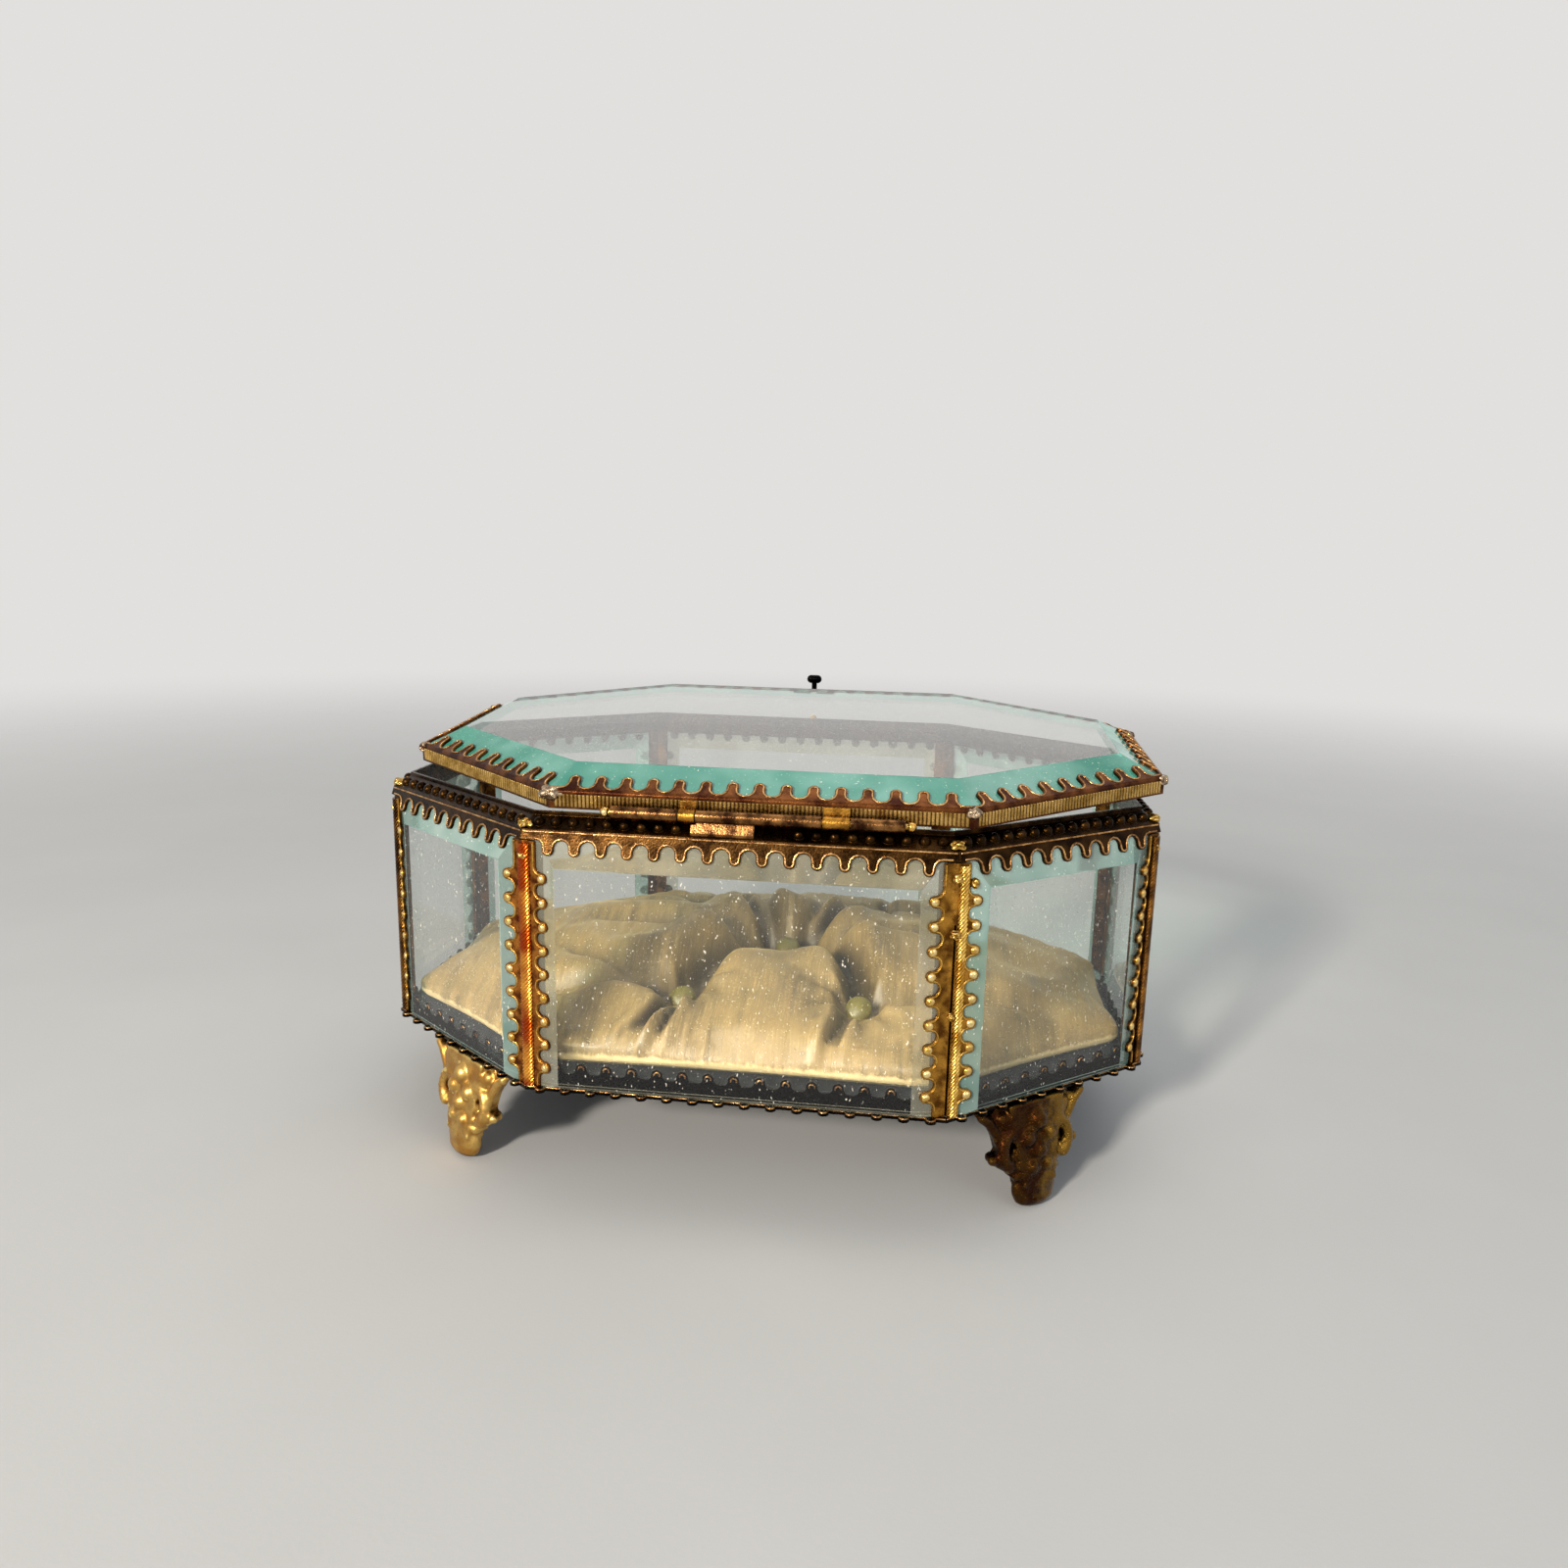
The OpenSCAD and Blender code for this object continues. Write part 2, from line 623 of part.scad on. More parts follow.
// The case's leaf: three knuckles on a web that stands behind the beads, against the
// lip of the rim, and a flap that lies on the bare part of the ledge.
module hinge_leaf() {
    web_y = 2.4;
    web_low = [hinge_y + 0.5, hinge_z - 0.85];
    flap_y = 0.25;
    color(DARK_BRASS) difference() {
        union() {
            at_hinge() {
                knuckle(knuckle_x0, knuckle_left);
                knuckle(mid_x0, knuckle_mid);
                knuckle(right_x0, knuckle_right);
            }
            translate([lid_shift, -half_d, fold_z]) {
                along_x(hinge_len, [
                    [web_y, ledge(web_y)], [pane_in, ledge_rise], [pane_in, rim_top - 0.1],
                    [hinge_y + 0.9, hinge_z - 0.4], web_low
                ]);
                translate([(flap_x0 + flap_x1) / 2, 0, 0]) along_x(flap_x1 - flap_x0, [
                    [flap_y, ledge(flap_y)], [web_y, ledge(web_y)], web_low,
                    [hinge_y - 0.3, hinge_z - 0.95], [flap_y, ledge(flap_y) + sheet]
                ]);
            }
        }
        at_hinge() {
            translate([-hinge_len, 0, 0]) rotate([0, 90, 0]) cylinder(d = bore_d, h = 2 * hinge_len);
            knuckle_room(lid_x0, lid_knuckle_left);
            knuckle_room(lid_x1, lid_knuckle_right);
        }
    }
}

// Room in the case's leaf for one of the lid's knuckles.
module knuckle_room(x0, length) {
    translate([x0 - knuckle_gap, 0, 0]) rotate([0, 90, 0])
        cylinder(d = knuckle_d + 2 * hinge_clear, h = length + 2 * knuckle_gap);
}

module hinge_pin() {
    end_d = 0.75 * knuckle_d;
    end_x = hinge_len / 2 + knuckle_gap + end_d / 2;
    color(BRASS) at_hinge() {
        translate([-end_x, 0, 0]) rotate([0, 90, 0]) cylinder(d = pin_d, h = 2 * end_x);
        for (side = [-1, 1])
            translate([side * end_x, 0, 0]) sphere(d = end_d);
    }
}

// The lid's two short knuckles, each with a tab up the face of the lid strip.
module lid_knuckles() {
    color(BRASS) at_hinge() rotate([ajar, 0, 0]) {
        for (place = [[lid_x0, lid_knuckle_left], [lid_x1, lid_knuckle_right]])
            difference() {
                union() {
                    knuckle(place[0], place[1]);
                    translate([place[0] + place[1] / 2, 0, 0]) along_x(place[1], [
                        [knuckle_d / 2 - 0.3, -0.1], [lid_inset - hinge_y, 0],
                        [lid_inset - hinge_y, tab_h], [lid_inset - hinge_y - 0.3, tab_h]
                    ]);
                }
                translate([place[0] - 1, 0, 0]) rotate([0, 90, 0])
                    cylinder(d = bore_d, h = place[1] + 2);
            }
    }
}

// ---------------------------------------------------------------- lid

// Side k of the lid in its shut place: x along the side, y in from the lid's face.
module at_lid_side(k) {
    ajar_lid() translate([0, half_d, 0]) at_side(k) translate([0, 0, lid_z]) children();
}

// A bevelled slab of glass, as deep as the lid is from side k to its opposite.
module lid_slab(k) {
    reach = apothem(k) - lid_inset - sheet;
    z0 = lid_z + sheet;
    z1 = z0 + lid_edge_t;
    z2 = z0 + lid_glass_t;
    rotate([0, 0, heading(k)]) along_x(4 * half_l, [
        [-reach, z0], [reach, z0], [reach, z1], [reach - lid_bevel_w, z2],
        [-reach + lid_bevel_w, z2], [-reach, z1]
    ]);
}

module lid_glass() {
    color(LID_GLASS) ajar_lid() translate([0, half_d, 0]) intersection() {
        lid_slab(0);
        lid_slab(1);
        lid_slab(2);
        lid_slab(3);
    }
}

module lid_strip(k) {
    along = [cos(lid_slope), sin(lid_slope)];
    up = [-sin(lid_slope), cos(lid_slope)];
    edge_z = sheet + lid_edge_t;
    face = lid_inset;
    arris_at = [face + sheet, edge_z];
    fold = arris_at + sheet * up;
    reach = (lid_band + lid_tooth) * cos(lid_slope) + sheet;
    margin = tooth_w / 2 + 0.4;
    color(BRASS) at_lid_side(k) {
        mitred(k, [
            [face, 0], [face + lid_flange, 0], [face + lid_flange, sheet], [face + sheet, sheet],
            arris_at, arris_at + lid_band * along, fold + lid_band * along, fold,
            [face, edge_z + sheet * 0.2]
        ]);
        translate([0, arris_at.x, arris_at.y]) rotate([lid_slope, 0, 0])
            translate([0, lid_band, 0]) linear_extrude(sheet)
                tooth_row(left_end(k, face + reach) + margin, right_end(k, face + reach) - margin,
                    lid_tooth, tooth_pitch);
    }
}

// Level of the keeper stud and of the catch plate's lower edge, above the fold
stud_z = ledge_rise + stud_d / 2 + 0.02;
catch_z0 = ledge_rise + 0.1;

// Plate on the far face of the lid, with a notch that drops over the keeper stud.
module catch_plate() {
    notch_w = stud_d + 2 * stud_clear;
    color(DARK_BRASS) at_lid_side(4) translate([0, lid_inset, -lid_z]) rotate([90, 0, 0])
        linear_extrude(catch_t) difference() {
            translate([-catch_w / 2, catch_z0]) square([catch_w, lid_z + catch_h - catch_z0]);
            translate([0, stud_z]) circle(d = notch_w);
            translate([-notch_w / 2, catch_z0 - 1]) square([notch_w, stud_z - catch_z0 + 1]);
        }
}

module keeper_stud() {
    head_t = 0.5;
    head_y = lid_inset - catch_t - stud_clear;
    color(BRASS) translate([lid_shift, half_d, fold_z + stud_z]) rotate([90, 0, 0]) {
        translate([0, 0, head_y]) cylinder(d = stud_d, h = pane_in - head_y);
        translate([0, 0, head_y - head_t]) cylinder(d = stud_d + 0.6, h = head_t);
    }
}

// Small roll on a stalk, to lift the lid by.
module thumb_piece() {
    stalk_d = 1.2;
    stalk_z = catch_h / 2;
    color(DARK_BRASS) at_lid_side(4) translate([0, lid_inset - catch_t - stalk_d / 2, 0]) {
        translate([0, 0, stalk_z]) cylinder(d = stalk_d, h = thumb_h - stalk_z);
        translate([0, 0, stalk_z]) sphere(d = stalk_d);
        translate([-thumb_w / 2 + thumb_d / 2, 0, thumb_h]) rotate([0, 90, 0])
            cylinder(d = thumb_d, h = thumb_w - thumb_d);
        for (side = [-1, 1])
            translate([side * (thumb_w - thumb_d) / 2, 0, thumb_h]) sphere(d = thumb_d);
    }
}

// ---------------------------------------------------------------- drawing

bottom_sheet();
lining_card();
silk_pad();
tuft_buttons();
hinge_leaf();
hinge_pin();
lid_glass();
lid_knuckles();
catch_plate();
thumb_piece();
keeper_stud();
for (k = SIDES) {
    pane(k);
    rim(k);
    sill(k);
    lid_strip(k);
    post(k);
}
foot(1, -1);  // foot_back_right
foot(3, 1);  // foot_front_right
foot(5, -1);  // foot_front_left
foot(7, 1);  // foot_back_left
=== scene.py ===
"""Glass casket box: the looks of an octagonal casket of bevelled glass and gilt brass.

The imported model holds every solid. This script dresses it: embossed lines and knobs on
the toothed strips, roped corner posts, cast leaf feet, a tufted silk pad with covered
buttons, solder, plate glass and patinated brass. Sizes are in millimetres, and MM turns
them to metres.
"""
import logging
import math
from dataclasses import dataclass, field
from enum import Enum

import bpy
from mathutils import Matrix, Vector, noise


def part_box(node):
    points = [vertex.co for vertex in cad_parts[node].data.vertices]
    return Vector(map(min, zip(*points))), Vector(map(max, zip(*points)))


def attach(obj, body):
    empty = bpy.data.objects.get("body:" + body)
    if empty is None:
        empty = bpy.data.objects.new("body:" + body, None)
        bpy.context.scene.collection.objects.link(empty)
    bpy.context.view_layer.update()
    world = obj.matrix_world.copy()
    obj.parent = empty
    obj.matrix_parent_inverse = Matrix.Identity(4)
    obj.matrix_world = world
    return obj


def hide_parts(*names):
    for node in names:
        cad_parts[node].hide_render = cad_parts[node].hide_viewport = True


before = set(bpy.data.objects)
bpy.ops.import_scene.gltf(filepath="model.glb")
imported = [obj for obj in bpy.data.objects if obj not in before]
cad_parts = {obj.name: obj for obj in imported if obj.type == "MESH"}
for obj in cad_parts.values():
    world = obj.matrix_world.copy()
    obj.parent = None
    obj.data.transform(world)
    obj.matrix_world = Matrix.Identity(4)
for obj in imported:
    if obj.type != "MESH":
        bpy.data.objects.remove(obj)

MM = 0.001
SIDE_NAMES = (
    "back", "back_right", "right", "front_right", "front", "front_left", "left", "back_left",
)
POST_NAMES = (
    "back_a", "back_b", "right_a", "right_b", "front_a", "front_b", "left_a", "left_b",
)
LONG_SIDES = (SIDE_NAMES.index("back"), SIDE_NAMES.index("front"))
COPPER_POST = POST_NAMES.index("back_a")
OPEN_POST = POST_NAMES.index("back_b")
LOG = logging.getLogger("casket")


class Body(Enum):
    """The two bodies that pieces ride on."""

    CASE = "case"
    LID = "lid"


# ---------------------------------------------------------------- sizes


@dataclass(frozen=True)
class CasketPlan:
    """Sizes that the brasswork and the glass share, and the frames they are drawn in."""

    long_side: float = 70.0
    corner_run: float = 35.0
    corner_set: float = 27.5
    end_side: float = 38.0
    case_z: float = 19.0
    case_h: float = 45.0
    sheet: float = 0.5
    tooth_w: float = 1.9
    tooth_pitch: float = 4.35
    rim_band: float = 1.7
    rim_tooth: float = 2.5
    top_slope: float = math.atan2(1.7, 6.0)
    side_slope: float = math.atan2(1.7, 4.5)
    pane_in: float = 2.8
    pane_clear: float = 0.1
    lid_inset: float = 2.5
    lid_shift: float = 3.0
    lid_z: float = 3.1
    lid_edge_t: float = 2.3
    lid_band: float = 0.6
    lid_tooth: float = 3.0
    lid_slope: float = math.atan2(3.3, 6.8)
    ajar: float = math.radians(4.0)
    hinge_y: float = 1.2
    hinge_z: float = 3.3119

    @property
    def fold_z(self) -> float:
        """Level of the fold at the top of the glazed case."""
        return self.case_z + self.case_h

    @property
    def half_d(self) -> float:
        """Half of the depth over the fold."""
        return self.end_side / 2 + self.corner_set

    def corner(self, k: int) -> Vector:
        """Give a corner of the octagon, anticlockwise from the hinge side's left end.

        Args:
            k: Number of the corner.

        Returns:
            The corner in plan.
        """
        half_l = self.long_side / 2 + self.corner_run
        points = (
            (-self.long_side / 2, -self.half_d), (self.long_side / 2, -self.half_d),
            (half_l, -self.end_side / 2), (half_l, self.end_side / 2),
        )
        half_round = len(points)
        sign = 1 if k % (2 * half_round) < half_round else -1
        x, y = points[k % half_round]
        return Vector((sign * x, sign * y))

    def run(self, k: int) -> float:
        """Length of side k along the fold."""
        return (self.corner(k + 1) - self.corner(k)).length

    def heading(self, k: int) -> float:
        """Angle of side k in plan."""
        along = self.corner(k + 1) - self.corner(k)
        return math.atan2(along.y, along.x)

    def mitre(self, k: int) -> float:
        """Tangent of half the angle that the outline turns through at corner k."""
        return math.tan((self.heading(k) - self.heading(k - 1)) % math.tau / 2)

    def left_end(self, k: int, y: float) -> float:
        """Left end of side k at a depth y inside the fold."""
        return -self.run(k) / 2 + y * self.mitre(k)

    def right_end(self, k: int, y: float) -> float:
        """Right end of side k at a depth y inside the fold."""
        return self.run(k) / 2 - y * self.mitre(k + 1)

    def side(self, k: int) -> Matrix:
        """Frame of side k: x along it from its left end, y into the box."""
        middle = (self.corner(k) + self.corner(k + 1)) / 2
        return Matrix.Translation(middle.to_3d()) @ Matrix.Rotation(self.heading(k), 4, "Z")

    def ajar_lid(self) -> Matrix:
        """Give the frame of the lid as it stands ajar.

        Returns:
            The frame, with its origin on the fold at the middle of the hinge side.
        """
        at = Vector((self.lid_shift, self.hinge_y - self.half_d, self.fold_z + self.hinge_z))
        back = Vector((0.0, -self.hinge_y, -self.hinge_z))
        return Matrix.Translation(at) @ Matrix.Rotation(self.ajar, 4, "X") @ Matrix.Translation(back)

    def lid_side(self, k: int) -> Matrix:
        """Give the frame of a side of the lid, at its lower edge.

        Args:
            k: Number of the side.

        Returns:
            The frame, with x along the side from its left end and y into the lid.
        """
        over = Matrix.Translation((0.0, self.half_d, 0.0))
        up = Matrix.Translation((0.0, 0.0, self.lid_z))
        return self.ajar_lid() @ over @ self.side(k) @ up


PLAN = CasketPlan()


# ---------------------------------------------------------------- modelling helpers


def only(piece: bpy.types.Object) -> None:
    """Select one object alone and make it active.

    Args:
        piece: The object.
    """
    bpy.ops.object.select_all(action="DESELECT")
    piece.select_set(True)
    bpy.context.view_layer.objects.active = piece


def named(piece: bpy.types.Object, name: str) -> bpy.types.Object:
    """Name a piece and its mesh alike, and give it back."""
    piece.name = piece.data.name = name
    return piece


def newest(name: str) -> bpy.types.Object:
    """Name the object that an operator has just added, and give it back."""
    return named(bpy.context.object, name)


def baked() -> None:
    """Move the newest object's place, turn and scale into its mesh."""
    bpy.ops.object.transform_apply(location=True, rotation=True, scale=True)


def laid(face: Matrix, points: list[tuple[float, float]]) -> list[Vector]:
    """Lay points that are drawn flat on a face of the casket."""
    return [face @ Vector((x, y, 0.0)) for x, y in points]


def placed(piece: bpy.types.Object, matrix: Matrix) -> bpy.types.Object:
    """Make a copy of a piece, with its own mesh, moved by a matrix in millimetres.

    Args:
        piece: The piece that was modelled once, in millimetres.
        matrix: Where the copy goes.

    Returns:
        The copy.
    """
    copy = piece.copy()
    copy.data = piece.data.copy()
    bpy.context.scene.collection.objects.link(copy)
    copy.data.transform(matrix)
    if matrix.determinant() < 0:
        copy.data.flip_normals()
    return copy


def joined(parts: list[bpy.types.Object], name: str) -> bpy.types.Object:
    """Join pieces into one mesh with a name.

    Args:
        parts: The pieces, each with its own mesh.
        name: Name of the result.

    Returns:
        The joined piece.
    """
    only(parts[0])
    for part in parts[1:]:
        part.select_set(True)
    if len(parts) > 1:
        bpy.ops.object.join()
    return named(bpy.context.view_layer.objects.active, name)


def modified(piece: bpy.types.Object, kind: str, **settings: object) -> None:
    """Add a modifier to a piece and apply it.

    Args:
        piece: The piece.
        kind: Blender's name for the kind of modifier.
        **settings: What the modifier is set to.
    """
    only(piece)
    made = piece.modifiers.new(kind.lower(), kind)
    for key, value in settings.items():
        setattr(made, key, value)
    bpy.ops.object.modifier_apply(modifier=made.name)


def discard(piece: bpy.types.Object) -> None:
    """Remove a pattern piece that has been copied."""
    bpy.data.objects.remove(piece, do_unlink=True)


def in_metres(piece: bpy.types.Object) -> bpy.types.Object:
    """Turn a mesh drawn in millimetres to metres."""
    piece.data.transform(Matrix.Scale(MM, 4))
    return piece


def dress(
    piece: bpy.types.Object, finish: bpy.types.Material, body: Body,
    replaced: tuple[str, ...] = (), crisp: float = 50.0,
) -> None:
    """Give a piece its finish and its body, and report it.

    Args:
        piece: The piece, in metres, at its place.
        finish: Its material.
        body: The body that it rides on.
        replaced: The nodes that it stands for.
        crisp: Angle in degrees from which an edge stays sharp.
    """
    if not piece.data.materials:
        piece.data.materials.append(finish)
    piece.data.materials[0] = finish
    only(piece)
    bpy.ops.object.shade_smooth_by_angle(angle=math.radians(crisp))
    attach(piece, body.value)
    if replaced:
        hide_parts(*replaced)
    LOG.info("%s: %d faces on %s", piece.name, len(piece.data.polygons), body.value)


def wire(name: str, paths: list[list[Vector]], radius: float) -> bpy.types.Object:
    """Make round embossed lines along paths.

    Args:
        name: Name of the piece.
        paths: The lines' points, in millimetres.
        radius: Radius of the line.

    Returns:
        The lines as one mesh, in metres.
    """
    curve = bpy.data.curves.new(name, "CURVE")
    curve.dimensions = "3D"
    curve.bevel_depth = radius * MM
    curve.bevel_resolution = 1
    curve.use_fill_caps = True
    for path in paths:
        spline = curve.splines.new("POLY")
        spline.points.add(len(path) - 1)
        for point, place in zip(spline.points, path):
            point.co = (place * MM).to_4d()
    piece = bpy.data.objects.new(name, curve)
    bpy.context.scene.collection.objects.link(piece)
    only(piece)
    bpy.ops.object.convert(target="MESH")
    return newest(name)


def merged_copy(node: str, name: str) -> bpy.types.Object:
    """Copy one of the frame's solids and merge its loose triangles.

    Args:
        node: Name of the solid.
        name: Name of the copy.

    Returns:
        The copy, in metres, with its flat faces whole and its normals outward.
    """
    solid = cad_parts[node]
    copy = bpy.data.objects.new(name, solid.data.copy())
    copy.data.name = name
    copy.data.materials.clear()
    bpy.context.scene.collection.objects.link(copy)
    only(copy)
    bpy.ops.object.mode_set(mode="EDIT")
    bpy.ops.mesh.select_all(action="SELECT")
    bpy.ops.mesh.remove_doubles(threshold=1e-6)
    bpy.ops.mesh.dissolve_limited(angle_limit=math.radians(0.5))
    bpy.ops.mesh.normals_make_consistent(inside=False)
    bpy.ops.object.mode_set(mode="OBJECT")
    return copy


def arc(
    centre: tuple[float, float], radius: float, start: float, end: float, steps: int,
) -> list[tuple[float, float]]:
    """Points along an arc from a start to an end angle in degrees."""
    turns = [math.radians(start + (end - start) * i / steps) for i in range(steps + 1)]
    return [(centre[0] + radius * math.cos(a), centre[1] + radius * math.sin(a)) for a in turns]


@dataclass(frozen=True)
class ToothRow:
    """A row of rounded teeth with filleted roots, centred between two ends."""

    start: float
    end: float
    length: float
    pitch: float = PLAN.tooth_pitch
    width: float = PLAN.tooth_w
    inset: float = 0.3
    straight: float = 0.05
    hair: float = 0.001

    def centres(self) -> list[float]:
        """Space the teeth evenly about the middle of the row.

        Returns:
            The middle of each tooth along the row.
        """
        count = max(1, int((self.end - self.start) / self.pitch + self.hair) + 1)
        first = (self.start + self.end - (count - 1) * self.pitch) / 2
        return [first + i * self.pitch for i in range(count)]

    def border(self, first: float, last: float) -> list[tuple[float, float]]:
        """Line that follows the teeth a little inside their edge.

        Args:
            first: Where the line starts, left of the teeth.
            last: Where it ends, right of them.

        Returns:
            Points along and across the row.
        """
        tip_z = self.length - self.width / 2
        root = min((self.pitch - self.width) / 2 - self.straight, tip_z - self.straight)
        beside = self.width / 2 + root
        line = [(first, -self.inset)]
        for x in self.centres():
            line += arc((x - beside, root), root + self.inset, -90, 0, 3)
            line += arc((x, tip_z), self.width / 2 - self.inset, 180, 0, 6)
            line += arc((x + beside, root), root + self.inset, 180, 270, 3)
        return line + [(last, -self.inset)]


# ---------------------------------------------------------------- finishes


Colour = tuple[float, float, float, float]
# The Mix node's factor and its two colour sockets, by number
SHARE, FIRST, SECOND = 0, 6, 7
COLOURS = {"data_type": "RGBA"}
SMOOTH = {"interpolation_type": "SMOOTHSTEP"}
GRAINED = {"Roughness": 0.55}


def linear(code: str) -> Colour:
    """Turn an sRGB hex value into a linear colour.

    Args:
        code: The value, such as "#c9a15a".

    Returns:
        Red, green, blue and an alpha of one.
    """
    parts = [int(code[i:i + 2], 16) / 255 for i in (1, 3, 5)]
    r, g, b = [p / 12.92 if p <= 0.04045 else ((p + 0.055) / 1.055) ** 2.4 for p in parts]
    return r, g, b, 1.0


def per_mm(size: float) -> float:
    """Scale of a pattern on Object coordinates whose features are a size in millimetres."""
    return 1.0 / (size * MM)


def add_node(
    tree: bpy.types.NodeTree, kind: str, settings: dict | None = None, links: dict | None = None,
) -> bpy.types.Node:
    """Add a node with its settings and links.

    Args:
        tree: The material's tree.
        kind: Name of the node without ShaderNode.
        settings: Attributes of the node, or sockets by name or number, and their values.
            A socket's colour is a hex value.
        links: Sockets by name or number, and what feeds them: an output, or a node, which
            gives the first output that it has in use.

    Returns:
        The node.
    """
    made = tree.nodes.new("ShaderNode" + kind)
    for key, value in (settings or {}).items():
        if isinstance(key, str) and hasattr(made, key):
            setattr(made, key, value)
        else:
            made.inputs[key].default_value = linear(value) if isinstance(value, str) else value
    for key, source in (links or {}).items():
        if isinstance(source, bpy.types.Node):
            source = next(output for output in source.outputs if output.enabled)
        tree.links.new(source, made.inputs[key])
    return made


class Finish:
    """The node tree of one material, with its place and its output."""

    def __init__(self, name: str) -> None:
        """Start an empty tree.

        Args:
            name: Name of the material.
        """
        self.material = bpy.data.materials.new(name)
        self.material.use_nodes = True
        self.tree = self.material.node_tree
        self.tree.nodes.clear()
        self.place = self.add("TexCoord").outputs["Object"]

    def add(
        self, kind: str, settings: dict | None = None, links: dict | None = None,
    ) -> bpy.types.Node:
        """Add a node to this finish."""
        return add_node(self.tree, kind, settings, links)

    def close(self, shader: bpy.types.Node) -> bpy.types.Material:
        """Send a shader to the output and give the material back."""
        self.add("OutputMaterial", links={"Surface": shader})
        return self.material


@dataclass(frozen=True)
class StampedBrass:
    """Rolled brass strip, stamped, gilt and then worn: dark with grime and painted shade in its
    hollows, bright on its edges.
    """

    name: str
    hollow: str
    body: str
    crest: str
    rough: float = 0.34
    cloud: float = 3.0
    worn: float = 0.5
    soft: float = 0.22
    reach: float = 0.9
    grit: float = 0.33
    grit_depth: float = 0.07

    def make(self) -> bpy.types.Material:
        """Build the material.

        Returns:
            The material.
        """
        f = Finish(self.name)
        # Patina lies in soft clouds a few millimetres across, as a rubbed gilding wears
        patina = f.add(
            "TexNoise", GRAINED | {"Scale": per_mm(self.cloud), "Detail": 5.0},
            {"Vector": f.place})
        clouds = f.add(
            "MapRange", SMOOTH | {"From Min": 0.36, "From Max": 0.66}, {"Value": patina})
        tone = f.add("Mix", COLOURS | {FIRST: self.body, SECOND: self.crest}, {SHARE: clouds})
        # Grime stays where two pieces meet, and painted shade darkens the same crevices
        dirt_and_shade = f.add("AmbientOcclusion", {"samples": 5, "Distance": self.reach * MM})
        free_of_dirt_and_shade = f.add(
            "MapRange", SMOOTH | {"From Min": 0.3, "From Max": 0.9, "To Min": 0.25},
            {"Value": dirt_and_shade.outputs["AO"]})
        toned = f.add("Mix", COLOURS | {FIRST: self.hollow}, {SHARE: free_of_dirt_and_shade, SECOND: tone})
        # The sheet's edges are rubbed back to bright metal
        rounded = f.add("Bevel", {"samples": 4, "Radius": self.soft * MM})
        flat = f.add("NewGeometry").outputs["Normal"]
        edge = f.add("VectorMath", {"operation": "DOT_PRODUCT"}, {0: rounded, 1: flat})
        edges = f.add(
            "MapRange", SMOOTH | {"From Min": 0.985, "From Max": 0.82, "To Max": self.worn},
            {"Value": edge})
        # Pinholes and grime of about a third of a millimetre break the highlights up
        grit = f.add(
            "TexNoise", GRAINED | {"Scale": per_mm(self.grit), "Detail": 3.0},
            {"Vector": f.place})
        broken = f.add(
            "MapRange", SMOOTH | {"From Min": 0.3, "From Max": 0.6, "To Min": 0.2},
            {"Value": grit})
        rubbed = f.add("Math", {"operation": "MULTIPLY"}, {0: edges, 1: broken})
        colour = f.add("Mix", COLOURS | {SECOND: self.crest}, {SHARE: rubbed, FIRST: toned})
        rough = f.add(
            "MapRange",
            SMOOTH | {"From Min": 0.25, "From Max": 0.75,
                      "To Min": self.rough - 0.1, "To Max": self.rough + 0.16},
            {"Value": grit})
        pitted = f.add(
            "Bump", {"Strength": 0.7, "Distance": self.grit_depth * MM},
            {"Height": grit, "Normal": rounded})
        return f.close(f.add(
            "BsdfPrincipled", {"Metallic": 1.0},
            {"Base Color": colour, "Roughness": rough, "Normal": pitted}))


